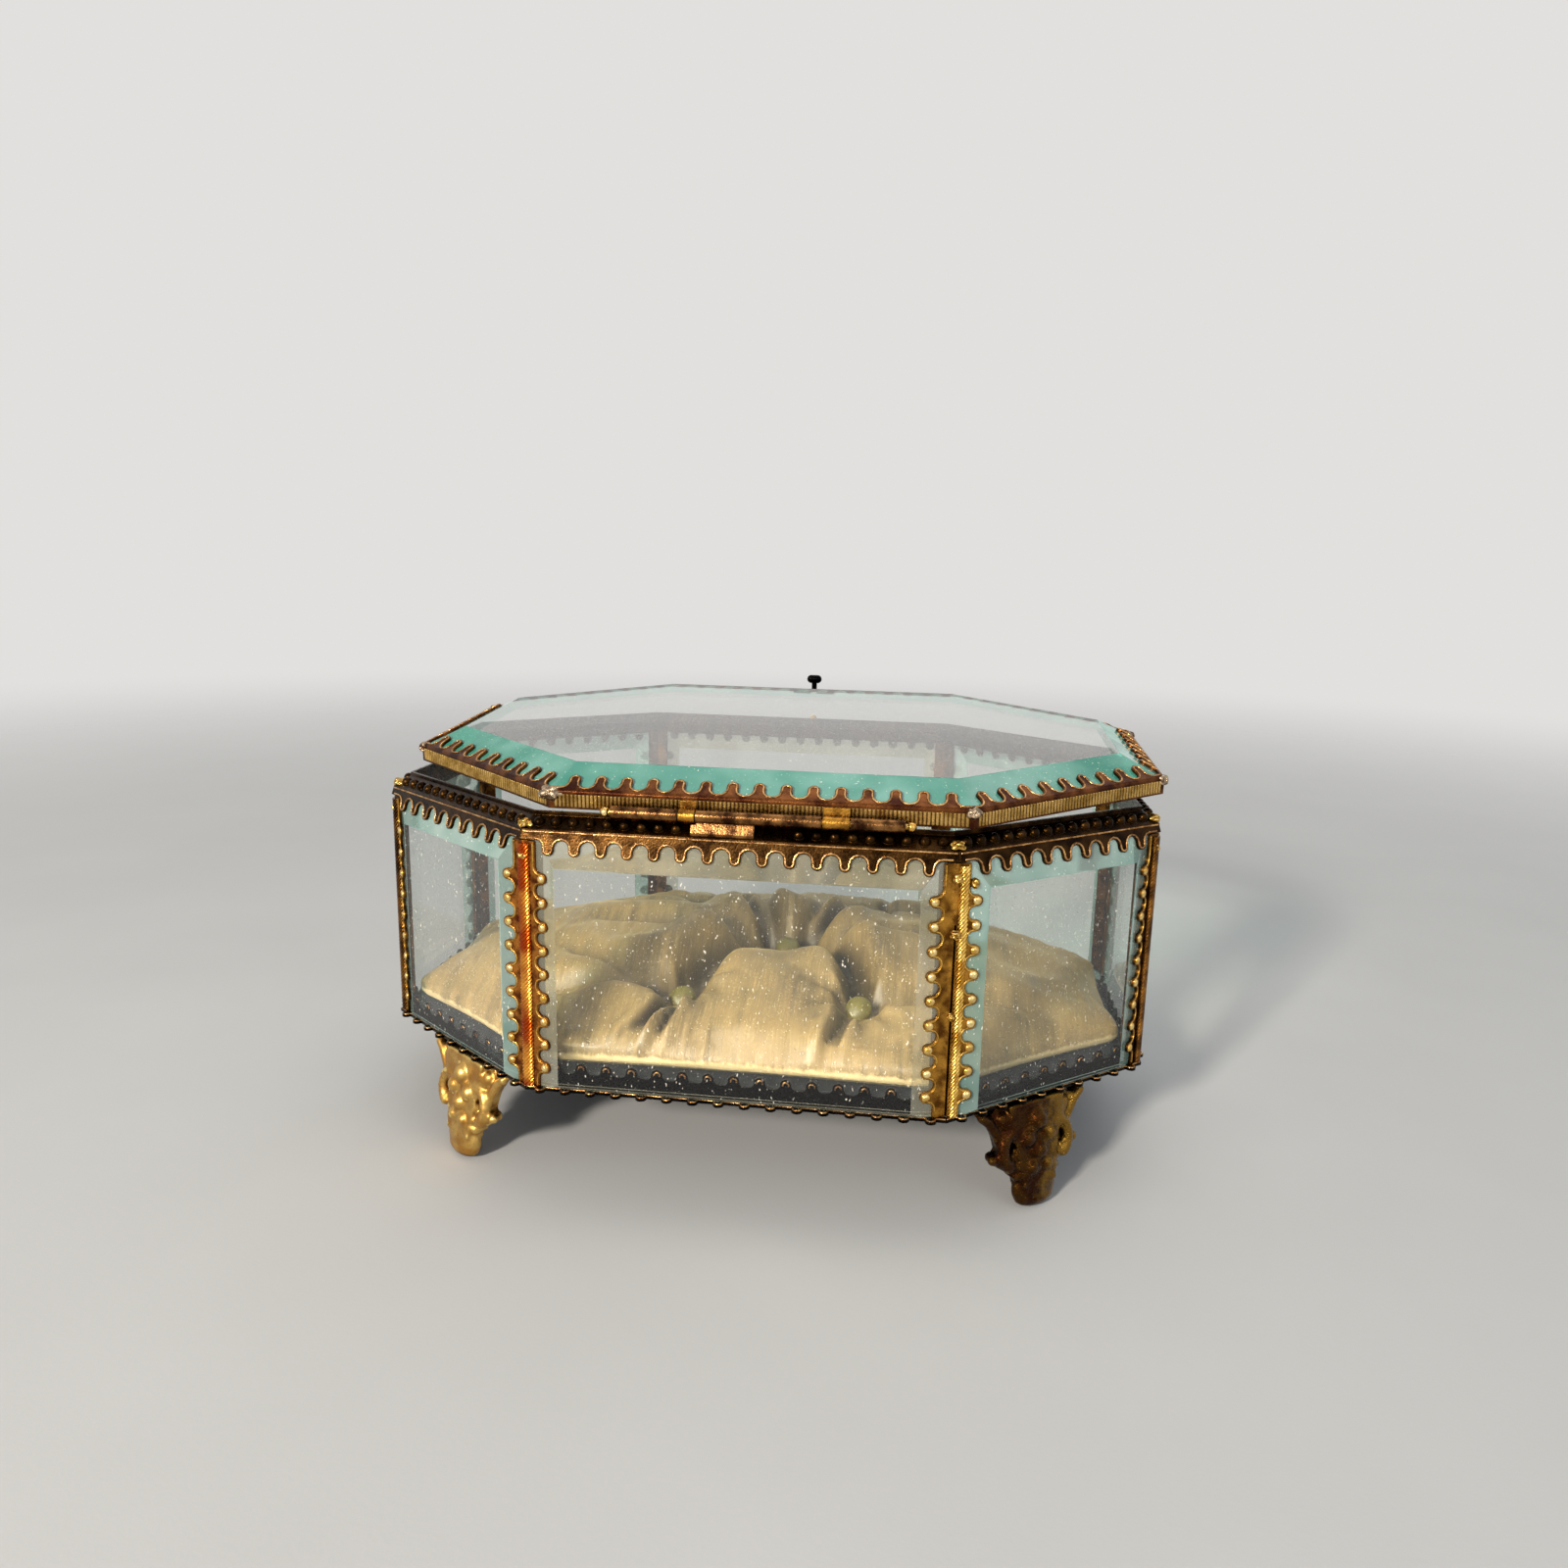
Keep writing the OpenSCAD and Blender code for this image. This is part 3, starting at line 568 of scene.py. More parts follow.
@dataclass(frozen=True)
class CastBrass:
    """Cast brass, gilt or browned: smooth forms with pits, rubbed bright on what stands proud."""

    name: str
    hollow: str
    body: str
    crest: str
    rough: float = 0.3
    pits: float = 0.08
    # Strength of the painted lit side on the outer side of the foot
    lit_right: float = 0.0
    mottle: float = 0.45
    rubbed: float = 0.85
    # Where, in millimetres of x, the painted lit side begins
    lit_from: float = 55.0
    lit_to: float = 60.0

    def make(self) -> bpy.types.Material:
        """Build the material.

        Returns:
            The material.
        """
        f = Finish(self.name)
        # The gilding is uneven, in patches of a few millimetres
        patches = f.add(
            "TexNoise", GRAINED | {"Scale": per_mm(3.5), "Detail": 5.0},
            {"Vector": f.place})
        mottled = f.add(
            "MapRange", SMOOTH | {"From Min": 0.4, "From Max": 0.62, "To Max": self.mottle},
            {"Value": patches})
        tone = f.add("Mix", COLOURS | {FIRST: self.body, SECOND: self.crest}, {SHARE: mottled})
        # Painted light: past a ragged line on the outer side, the foot is painted olive gold, as if
        # that side were lit
        ragged = f.add(
            "TexNoise", GRAINED | {"Scale": per_mm(1.6), "Detail": 5.0},
            {"Vector": f.place})
        across = f.add("SeparateXYZ", links={0: f.place}).outputs["X"]
        outward = f.add(
            "Math", {"operation": "MULTIPLY_ADD", 1: 9.0 * MM}, {0: ragged, 2: across})
        lit_side = f.add(
            "MapRange",
            SMOOTH | {"From Min": self.lit_from * MM, "From Max": self.lit_to * MM,
                      "To Max": self.lit_right},
            {"Value": outward})
        worn = f.add("Mix", COLOURS | {SECOND: self.crest}, {SHARE: lit_side, FIRST: tone})
        # Hands and dusters keep what stands proud bright
        proud = f.add("NewGeometry").outputs["Pointiness"]
        polished = f.add(
            "MapRange", SMOOTH | {"From Min": 0.51, "From Max": 0.58, "To Max": self.rubbed},
            {"Value": proud})
        bright = f.add("Mix", COLOURS | {SECOND: self.crest}, {SHARE: polished, FIRST: worn})
        # Tarnish and dirt stay in the hollows of the casting, darkened further by painted shade
        dirt_and_shade = f.add("AmbientOcclusion", {"samples": 6, "Distance": 1.8 * MM})
        free_of_dirt_and_shade = f.add(
            "MapRange", SMOOTH | {"From Min": 0.35, "From Max": 0.9},
            {"Value": dirt_and_shade.outputs["AO"]})
        colour = f.add("Mix", COLOURS | {FIRST: self.hollow}, {SHARE: free_of_dirt_and_shade, SECOND: bright})
        # A sand casting keeps pits of about half a millimetre
        sand = f.add(
            "TexNoise", GRAINED | {"Scale": per_mm(0.45), "Detail": 4.0},
            {"Vector": f.place})
        rough = f.add(
            "MapRange",
            SMOOTH | {"From Min": 0.3, "From Max": 0.7,
                      "To Min": self.rough - 0.08, "To Max": self.rough + 0.14},
            {"Value": sand})
        pits = f.add("MapRange", SMOOTH | {"From Min": 0.3, "From Max": 0.5}, {"Value": sand})
        pitted = f.add(
            "Bump", {"Strength": 0.8, "Distance": self.pits * MM}, {"Height": pits})
        return f.close(f.add(
            "BsdfPrincipled", {"Metallic": 1.0},
            {"Base Color": colour, "Roughness": rough, "Normal": pitted}))


@dataclass(frozen=True)
class PlateGlass:
    """Plate glass: polished clear on its flats, or ground and greener on its bevels."""

    name: str
    tint: str
    deep: str
    through: float = 1.0
    rough: float = 0.0
    wave: float = 0.0
    gloss: float = 0.5
    lint: str = "#f6f0e0"

    def make(self) -> bpy.types.Material:
        """Build the material.

        Returns:
            The material.
        """
        f = Finish(self.name)
        # Thick edge glass deepens and pales in slow bands along the bevel
        bands = f.add(
            "TexNoise", GRAINED | {"Scale": per_mm(11.0), "Detail": 2.0},
            {"Vector": f.place})
        band = f.add(
            "MapRange", SMOOTH | {"From Min": 0.36, "From Max": 0.64}, {"Value": bands})
        colour = f.add("Mix", COLOURS | {FIRST: self.tint, SECOND: self.deep}, {SHARE: band})
        # A grinding wheel leaves a bevel a little wavy and a polished flat true
        waves = f.add(
            "TexNoise", GRAINED | {"Scale": per_mm(6.0), "Detail": 1.0},
            {"Vector": f.place})
        ripple = f.add(
            "Bump", {"Strength": 0.4, "Distance": self.wave * MM}, {"Height": waves})
        # Fine dust scatters the light
        specks = f.add(
            "TexNoise", GRAINED | {"Scale": per_mm(0.45), "Detail": 2.0},
            {"Vector": f.place})
        dust = f.add(
            "MapRange",
            SMOOTH | {"From Min": 0.68, "From Max": 0.76, "To Min": self.rough, "To Max": 0.6},
            {"Value": specks})
        glass = f.add(
            "BsdfPrincipled",
            {"IOR": 1.5, "Transmission Weight": self.through, "Specular IOR Level": self.gloss},
            {"Base Color": colour, "Roughness": dust, "Normal": ripple})
        # Motes and fibres of lint, twice as long as wide, stay on the glass
        upright = f.add("Mapping", {"Scale": (1.0, 1.0, 0.5)}, {"Vector": f.place})
        fibres = f.add(
            "TexNoise", GRAINED | {"Scale": per_mm(0.42), "Detail": 1.0},
            {"Vector": upright})
        mote = f.add(
            "MapRange", SMOOTH | {"From Min": 0.715, "From Max": 0.76, "To Max": 0.7},
            {"Value": fibres})
        white = f.add("BsdfDiffuse", {"Color": self.lint})
        dusty = f.add("MixShader", links={0: mote, 1: glass, 2: white})
        # Lamps reach what is behind the glass
        clear = f.add("BsdfTransparent", {"Color": self.tint})
        lamp_ray = f.add("LightPath").outputs["Is Shadow Ray"]
        return f.close(f.add("MixShader", links={0: lamp_ray, 1: dusty, 2: clear}))


@dataclass(frozen=True)
class SatinSilk:
    """Woven silk satin: long floating threads that catch the light in streaks.

    The levels of its painted shade at the foot and of its painted highlight on the roll
    are in millimetres. Cloth that lies wholly above them, such as a button's, shows neither.
    """

    name: str
    slub_and_shade: str
    body: str
    sheen: str
    stain: str
    # Colour and level of the painted shade at the foot of the pad
    shade_skirt: str = "#0d1418"
    shade_skirt_z: float = 0.0
    # Colour and level of the painted highlight on the roll
    roll: str = "#dcc694"
    roll_highlight_z: float = 0.0

    def make(self) -> bpy.types.Material:
        """Build the material.

        Returns:
            The material.
        """
        f = Finish(self.name)
        # Threads of about 0.1 mm are drawn at 0.22 mm, the finest that shows
        along = f.add("Mapping", {"Scale": (1.0, 0.05, 0.05)}, {"Vector": f.place})
        threads = f.add(
            "TexNoise", GRAINED | {"Scale": per_mm(0.22), "Detail": 2.0},
            {"Vector": along})
        slubs = f.add(
            "TexNoise", GRAINED | {"Scale": per_mm(1.5), "Detail": 3.0},
            {"Vector": along})
        # Thick threads, or slubs, lie darker, and more so in some parts of the cloth
        slub = f.add(
            "MapRange", SMOOTH | {"From Min": 0.25, "From Max": 0.75, "To Min": 0.3},
            {"Value": slubs})
        slubbed = f.add("Mix", COLOURS | {FIRST: self.slub_and_shade, SECOND: self.body}, {SHARE: slub})
        parts = f.add(
            "TexNoise", GRAINED | {"Scale": per_mm(16.0), "Detail": 4.0},
            {"Vector": f.place})
        cloud = f.add(
            "MapRange", SMOOTH | {"From Min": 0.36, "From Max": 0.64}, {"Value": parts})
        toned = f.add("Mix", COLOURS | {SECOND: self.body}, {SHARE: cloud, FIRST: slubbed})
        # Painted sheen: streaks of the sheen colour run along the threads, and a dry, rubbed surface
        # breaks them up into grains
        grains = f.add(
            "TexNoise", GRAINED | {"Scale": per_mm(0.55), "Detail": 3.0},
            {"Vector": f.place})
        grain = f.add(
            "MapRange", SMOOTH | {"From Min": 0.35, "From Max": 0.7}, {"Value": grains})
        thread = f.add(
            "MapRange", SMOOTH | {"From Min": 0.4, "From Max": 0.8, "To Max": 0.4},
            {"Value": threads})
        painted_sheen_streak = f.add("Math", {"operation": "MULTIPLY"}, {0: thread, 1: grain})
        bright = f.add("Mix", COLOURS | {SECOND: self.sheen}, {SHARE: painted_sheen_streak, FIRST: toned})
        # Faint brown stains run along the threads
        marks = f.add(
            "TexNoise", GRAINED | {"Scale": per_mm(5.0), "Detail": 6.0},
            {"Vector": along})
        mark = f.add(
            "MapRange", SMOOTH | {"From Min": 0.68, "From Max": 0.8, "To Max": 0.4},
            {"Value": marks})
        marked = f.add("Mix", COLOURS | {SECOND: self.stain}, {SHARE: mark, FIRST: bright})
        # The folds lie in their own shade, and dust has darkened them
        dirt_and_shade = f.add(
            "AmbientOcclusion", {"samples": 6, "Distance": 7.0 * MM, "only_local": True})
        free_of_dirt_and_shade = f.add(
            "MapRange", SMOOTH | {"From Min": 0.5, "From Max": 0.98},
            {"Value": dirt_and_shade.outputs["AO"]})
        shaded = f.add("Mix", COLOURS | {FIRST: self.slub_and_shade}, {SHARE: free_of_dirt_and_shade, SECOND: marked})
        # Painted highlight: the silk round the roll at the pad's edge is painted pale, where the lamp
        # catches it
        fray = f.add(
            "TexNoise", GRAINED | {"Scale": per_mm(1.2), "Detail": 4.0},
            {"Vector": f.place})
        level = f.add("SeparateXYZ", links={0: f.place}).outputs["Z"]
        frayed = f.add("Math", {"operation": "MULTIPLY_ADD", 1: 1.6 * MM}, {0: fray, 2: level})
        roll_highlight = f.add(
            "MapRange",
            SMOOTH | {"From Min": (self.roll_highlight_z + 1.2) * MM, "From Max": (self.roll_highlight_z + 0.5) * MM,
                      "To Max": 0.7},
            {"Value": frayed})
        roll_highlighted = f.add("Mix", COLOURS | {SECOND: self.roll}, {SHARE: roll_highlight, FIRST: shaded})
        # Painted shade: the pad is painted blue-black below the foot of the roll
        above_shade = f.add(
            "MapRange",
            SMOOTH | {"From Min": (self.shade_skirt_z - 0.2) * MM,
                      "From Max": (self.shade_skirt_z + 0.2) * MM},
            {"Value": level})
        colour = f.add("Mix", COLOURS | {FIRST: self.shade_skirt}, {SHARE: above_shade, SECOND: roll_highlighted})
        rough = f.add(
            "MapRange",
            SMOOTH | {"From Min": 0.3, "From Max": 0.7, "To Min": 0.38, "To Max": 0.56},
            {"Value": slubs})
        ribbed = f.add("Bump", {"Strength": 0.6, "Distance": 0.2 * MM}, {"Height": slubs})
        woven = f.add(
            "Bump", {"Strength": 0.7, "Distance": 0.05 * MM},
            {"Height": threads, "Normal": ribbed})
        return f.close(f.add(
            "BsdfPrincipled",
            {"Sheen Weight": 0.35, "Sheen Roughness": 0.35, "Sheen Tint": self.sheen,
             "Specular IOR Level": 0.6},
            {"Base Color": colour, "Roughness": rough, "Normal": woven}))


@dataclass(frozen=True)
class PaperedBoard:
    """Board covered in dark paper: matt, with pale fibres."""

    name: str
    body: str
    fleck: str

    def make(self) -> bpy.types.Material:
        """Build the material.

        Returns:
            The material.
        """
        f = Finish(self.name)
        fibres = f.add(
            "TexNoise", GRAINED | {"Scale": per_mm(0.6), "Detail": 4.0},
            {"Vector": f.place})
        flecks = f.add(
            "MapRange", SMOOTH | {"From Min": 0.55, "From Max": 0.7}, {"Value": fibres})
        colour = f.add("Mix", COLOURS | {FIRST: self.body, SECOND: self.fleck}, {SHARE: flecks})
        raised = f.add("Bump", {"Strength": 0.5, "Distance": 0.05 * MM}, {"Height": flecks})
        return f.close(f.add(
            "BsdfPrincipled", {"Roughness": 0.85}, {"Base Color": colour, "Normal": raised}))


class Finishes:
    """Every finish of the casket, made once."""

    def __init__(self) -> None:
        """Make the metals, the glass, the cloths and the board."""
        # Nearly black with age, with a thin warm line where the edge is rubbed
        self.rim = StampedBrass(
            "Browned stamped brass", "#080401", "#180d05", "#402a12", 0.26, 4.0, 0.9).make()
        # What stands up from a browned strip is rubbed to a coppery gold
        self.border = StampedBrass(
            "Rubbed gilt emboss", "#1c0c05", "#7a4c26", "#e0ae70", 0.22, 1.6, 0.8).make()
        # Warm worn gold over brown
        self.post = StampedBrass(
            "Gilt stamped brass", "#1a0c04", "#5c3812", "#b98434", 0.28, 2.5, 0.8).make()
        # Dull brown, a painted shade for the posts where the light and the hand don't reach
        self.post_shaded = StampedBrass(
            "Painted-shade post brass", "#120904", "#38220f", "#7c5424", 0.34, 3.0, 0.6).make()
        # The brightest gold of the posts, on their raised lines
        self.post_line = StampedBrass(
            "Bright gilt emboss", "#4a2a0e", "#a87628", "#e8bc5c", 0.26, 1.6, 0.7).make()
        # A reddish brown, coppery where it is worn
        self.copper_strip = StampedBrass(
            "Red-browned stamped brass", "#1a0803", "#562810", "#b0702e", 0.28, 2.0, 0.8).make()
        # Glowing red hollows and yellow ridges. A small bevel radius keeps a rope's strands
        self.copper = StampedBrass(
            "Copper-red roped brass", "#380602", "#a83c0c", "#ffb448", 0.2, 8.0, 0.5, 0.04, 0.4).make()
        # Bright gold ridges
        self.gilt_rope = StampedBrass(
            "Gilt roped brass", "#3a1e08", "#a87628", "#f0c868", 0.2, 3.0, 0.5, 0.04, 0.4).make()
        # Brown ridges that hardly shine, a painted shade for the ropes where the light doesn't reach
        self.shaded_rope = StampedBrass(
            "Painted-shade roped brass", "#0e0603", "#3a220e", "#8a5e28", 0.26, 3.0, 0.5, 0.04, 0.4).make()
        # Greenish gold that fingers keep bright
        self.lid_edge = StampedBrass(
            "Olive gilt knurled brass", "#4a3414", "#957234", "#d6b068", 0.28, 3.0, 0.6).make()
        # A dark plum patina under the lid's gold lines
        self.lid = StampedBrass(
            "Dark plum stamped brass", "#0e0604", "#38190f", "#7a4a26", 0.3, 4.0, 0.6).make()
        # Black, with a cold gleam
        self.dark = StampedBrass(
            "Blue-black tarnished brass", "#020304", "#06080a", "#1c1510", 0.24, 6.0, 0.2).make()
        # Chocolate brown, bright on its edges
        self.bronze = StampedBrass(
            "Bronzed hinge metal", "#0a0503", "#301b0f", "#94683c", 0.22, 2.6, 0.9).make()
        # Clean yellow gold with small sharp highlights
        self.gilt = StampedBrass(
            "Polished gilt brass", "#5a3a10", "#cc9a3c", "#ffe6a0", 0.16, 2.0, 0.7).make()
        # A thin silvery line
        self.seam = StampedBrass(
            "Rubbed tinned seam", "#55584f", "#b9bdb2", "#f4f4ea", 0.2, 6.0, 0.3).make()
        # Grey-brown, soft and rounded
        self.solder = CastBrass(
            "Soft solder, browned", "#1a100b", "#4a3424", "#c8b294", 0.26).make()
        # The same under a wash of gold
        self.gilt_solder = CastBrass(
            "Soft solder, gilt", "#3a220a", "#9a7028", "#ecc872", 0.22).make()
        # Pale bright gold with a satin skin
        self.gilt_foot = CastBrass(
            "Fire-gilt cast brass", "#4a2806", "#b4843f", "#fbe08a", 0.34, 0.01, mottle=0.3).make()
        # Dark brown, with a painted lit side of olive gold at its outer side, and olive gold on its
        # edges
        self.dark_foot = CastBrass(
            "Browned cast brass", "#070301", "#34190a", "#8c6a2a", 0.2, 0.1, 0.8, 0.12, 0.35).make()
        # Warm champagne with a soft sheen and painted streaks of sheen, brown with dust and
        # painted shade in its folds, with a painted highlight on its roll and painted shade at its
        # foot
        self.silk = SatinSilk(
            "Champagne silk satin", "#2a210a", "#877044", "#dcc486", "#8a4a26",
            shade_skirt_z=22.9, roll_highlight_z=24.2).make()
        # The same cloth in olive
        self.button = SatinSilk(
            "Olive silk satin", "#2c2806", "#5e5516", "#96893a", "#45401c").make()
        # A dark line under the pad, without a gleam
        self.card = PaperedBoard(
            "Board covered in blue-black paper", "#0e1418", "#1b2429").make()
        # Clear, with faint reflections and dust
        self.flat = PlateGlass(
            "Polished plate glass", "#fafbf9", "#f6f9f7", gloss=0.2).make()
        # Clear, with full reflections, as the lid is seen at a low angle
        self.lid_flat = PlateGlass("Polished thick plate", "#fafbf9", "#f6f9f7").make()
        # Frosted grey-green
        self.bevel = PlateGlass(
            "Ground side bevel", "#b4d0c6", "#8fb8ac", 0.6, 0.07, 0.1).make()
        # Frosted, and warmed by the silk behind it
        self.near_bevel = PlateGlass(
            "Ground bevel over silk", "#cfcdb9", "#b3b096", 0.72, 0.06, 0.1).make()
        # Sea green, where one looks along the plate
        self.lid_bevel = PlateGlass(
            "Ground bevel of thick plate", "#98ecd6", "#58c8ae", 0.6, 0.07, 0.12).make()


# ---------------------------------------------------------------- strips


@dataclass
class RimWork:
    """Embossed lines on the toothed strips round the top of the case."""

    line: float = 0.17
    margin: float = 3.55
    wave_end: float = 0.9
    fold_end: float = 0.3
    fold_in: float = 0.35

    def build(self, finishes: Finishes) -> None:
        """Make the wavy line and the fold's line of each side.

        Args:
            finishes: The casket's finishes.
        """
        for k, name in enumerate(SIDE_NAMES):
            across = (
                PLAN.side(k) @ Matrix.Translation((0.0, PLAN.sheet, PLAN.fold_z))
                @ Matrix.Rotation(-math.pi / 2 - PLAN.top_slope, 4, "X")
                @ Matrix.Translation((0.0, PLAN.rim_band, -PLAN.sheet))
            )
            left, right = PLAN.left_end(k, 0.0), PLAN.right_end(k, 0.0)
            row = ToothRow(left + self.margin, right - self.margin, PLAN.rim_tooth)
            top = self.fold_in - PLAN.rim_band
            paths = [
                laid(across, row.border(left + self.wave_end, right - self.wave_end)),
                laid(across, [(left + self.fold_end, top), (right - self.fold_end, top)]),
            ]
            piece = wire(f"rim_border_{name}", paths, self.line)
            dress(piece, finishes.border, Body.CASE)


@dataclass
class SillWork:
    """Rubbed lines on the teeth of the sill, and the seam of tin at the foot of the panes."""

    line: float = 0.16
    edge: float = 0.6
    tooth: float = 1.1
    tooth_inset: float = 0.22
    leg: float = 2.0
    leg_tooth: float = 1.9
    tip_r: float = 0.5
    tip_arc: tuple[float, float] = (200.0, -20.0)
    seam: float = 0.18
    seam_in: float = 0.4
    seam_end: float = 0.6

    def build(self, finishes: Finishes) -> None:
        """Make the lines and the seam of each side.

        Args:
            finishes: The casket's finishes.
        """
        seams = []
        for k, name in enumerate(SIDE_NAMES):
            top = PLAN.case_z + PLAN.sheet
            # A bright seam runs along the foot of each pane
            seams.append([
                PLAN.side(k) @ Vector((x, self.seam_in, top + self.seam))
                for x in (PLAN.left_end(k, self.seam_end), PLAN.right_end(k, self.seam_end))
            ])
            across = (
                PLAN.side(k) @ Matrix.Translation((0.0, -self.edge, top))
                @ Matrix.Scale(-1.0, 4, (0.0, 1.0, 0.0))
            )
            left, right = PLAN.left_end(k, 0.0), PLAN.right_end(k, 0.0)
            row = ToothRow(
                left + PLAN.tooth_w, right - PLAN.tooth_w, self.tooth, inset=self.tooth_inset)
            paths = [laid(across, row.border(left, right))]
            # The leg behind the glass has its own teeth, rubbed bright at their tips
            upright = (
                PLAN.side(k) @ Matrix.Translation((0.0, PLAN.pane_in, top + self.leg))
                @ Matrix.Rotation(math.pi / 2, 4, "X")
            )
            left, right = PLAN.left_end(k, PLAN.pane_in), PLAN.right_end(k, PLAN.pane_in)
            row = ToothRow(left + PLAN.tooth_w, right - PLAN.tooth_w, self.leg_tooth)
            for x in row.centres():
                middle = (x, self.leg_tooth - PLAN.tooth_w / 2)
                paths.append(laid(upright, arc(middle, self.tip_r, *self.tip_arc, 6)))
            piece = wire(f"sill_border_{name}", paths, self.line)
            dress(piece, finishes.border, Body.CASE)
        dress(wire("sill_seams", seams, self.seam), finishes.seam, Body.CASE)


@dataclass
class LidWork:
    """Knurling and embossed lines on the strips round the lid."""

    line: float = 0.17
    line_in: float = 1.2
    tooth_margin: float = 0.4
    ridge_pitch: float = 0.66
    ridge_r: float = 0.3
    ridge_set: float = 0.1
    ridge_short: float = 0.7

    def build(self, finishes: Finishes) -> None:
        """Make the lines and the knurling of each side.

        Args:
            finishes: The casket's finishes.
        """
        edge_z = PLAN.sheet + PLAN.lid_edge_t
        for k, name in enumerate(SIDE_NAMES):
            side = PLAN.lid_side(k)
            across = (
                side @ Matrix.Translation((0.0, PLAN.lid_inset + PLAN.sheet, edge_z))
                @ Matrix.Rotation(PLAN.lid_slope, 4, "X")
                @ Matrix.Translation((0.0, PLAN.lid_band, PLAN.sheet))
            )
            reach = (PLAN.lid_band + PLAN.lid_tooth) * math.cos(PLAN.lid_slope) + PLAN.sheet
            depth = PLAN.lid_inset + reach
            margin = PLAN.tooth_w / 2 + self.tooth_margin
            row = ToothRow(
                PLAN.left_end(k, depth) + margin, PLAN.right_end(k, depth) - margin,
                PLAN.lid_tooth,
            )
            left = PLAN.left_end(k, PLAN.lid_inset + self.line_in)
            right = PLAN.right_end(k, PLAN.lid_inset + self.line_in)
            wave = laid(across, row.border(left, right))
            piece = wire(f"lid_border_{name}", [wave], self.line)
            dress(piece, finishes.border, Body.LID)
            ridges = self.knurl(k, side, edge_z)
            dress(ridges, finishes.lid_edge, Body.LID)

    def knurl(self, k: int, side: Matrix, height: float) -> bpy.types.Object:
        """Model one upright ridge and repeat it along side k.

        Args:
            k: Number of the side.
            side: Frame of the side.
            height: Height of the strip's face.

        Returns:
            The row of ridges, in metres.
        """
        left = PLAN.left_end(k, PLAN.lid_inset) + self.ridge_pitch
        right = PLAN.right_end(k, PLAN.lid_inset) - self.ridge_pitch
        count = int((right - left) / self.ridge_pitch)
        bpy.ops.object.select_all(action="DESELECT")
        bpy.ops.mesh.primitive_cylinder_add(
            vertices=6, radius=self.ridge_r, depth=height - self.ridge_short,
            location=((left + right - (count - 1) * self.ridge_pitch) / 2,
                      PLAN.lid_inset + self.ridge_set, height / 2),
        )
        piece = newest(f"lid_knurl_{SIDE_NAMES[k]}")
        baked()
        modified(
            piece, "ARRAY", count=count, use_relative_offset=False, use_constant_offset=True,
            constant_offset_displace=(self.ridge_pitch, 0.0, 0.0),
        )
        piece.data.transform(side)
        return in_metres(piece)


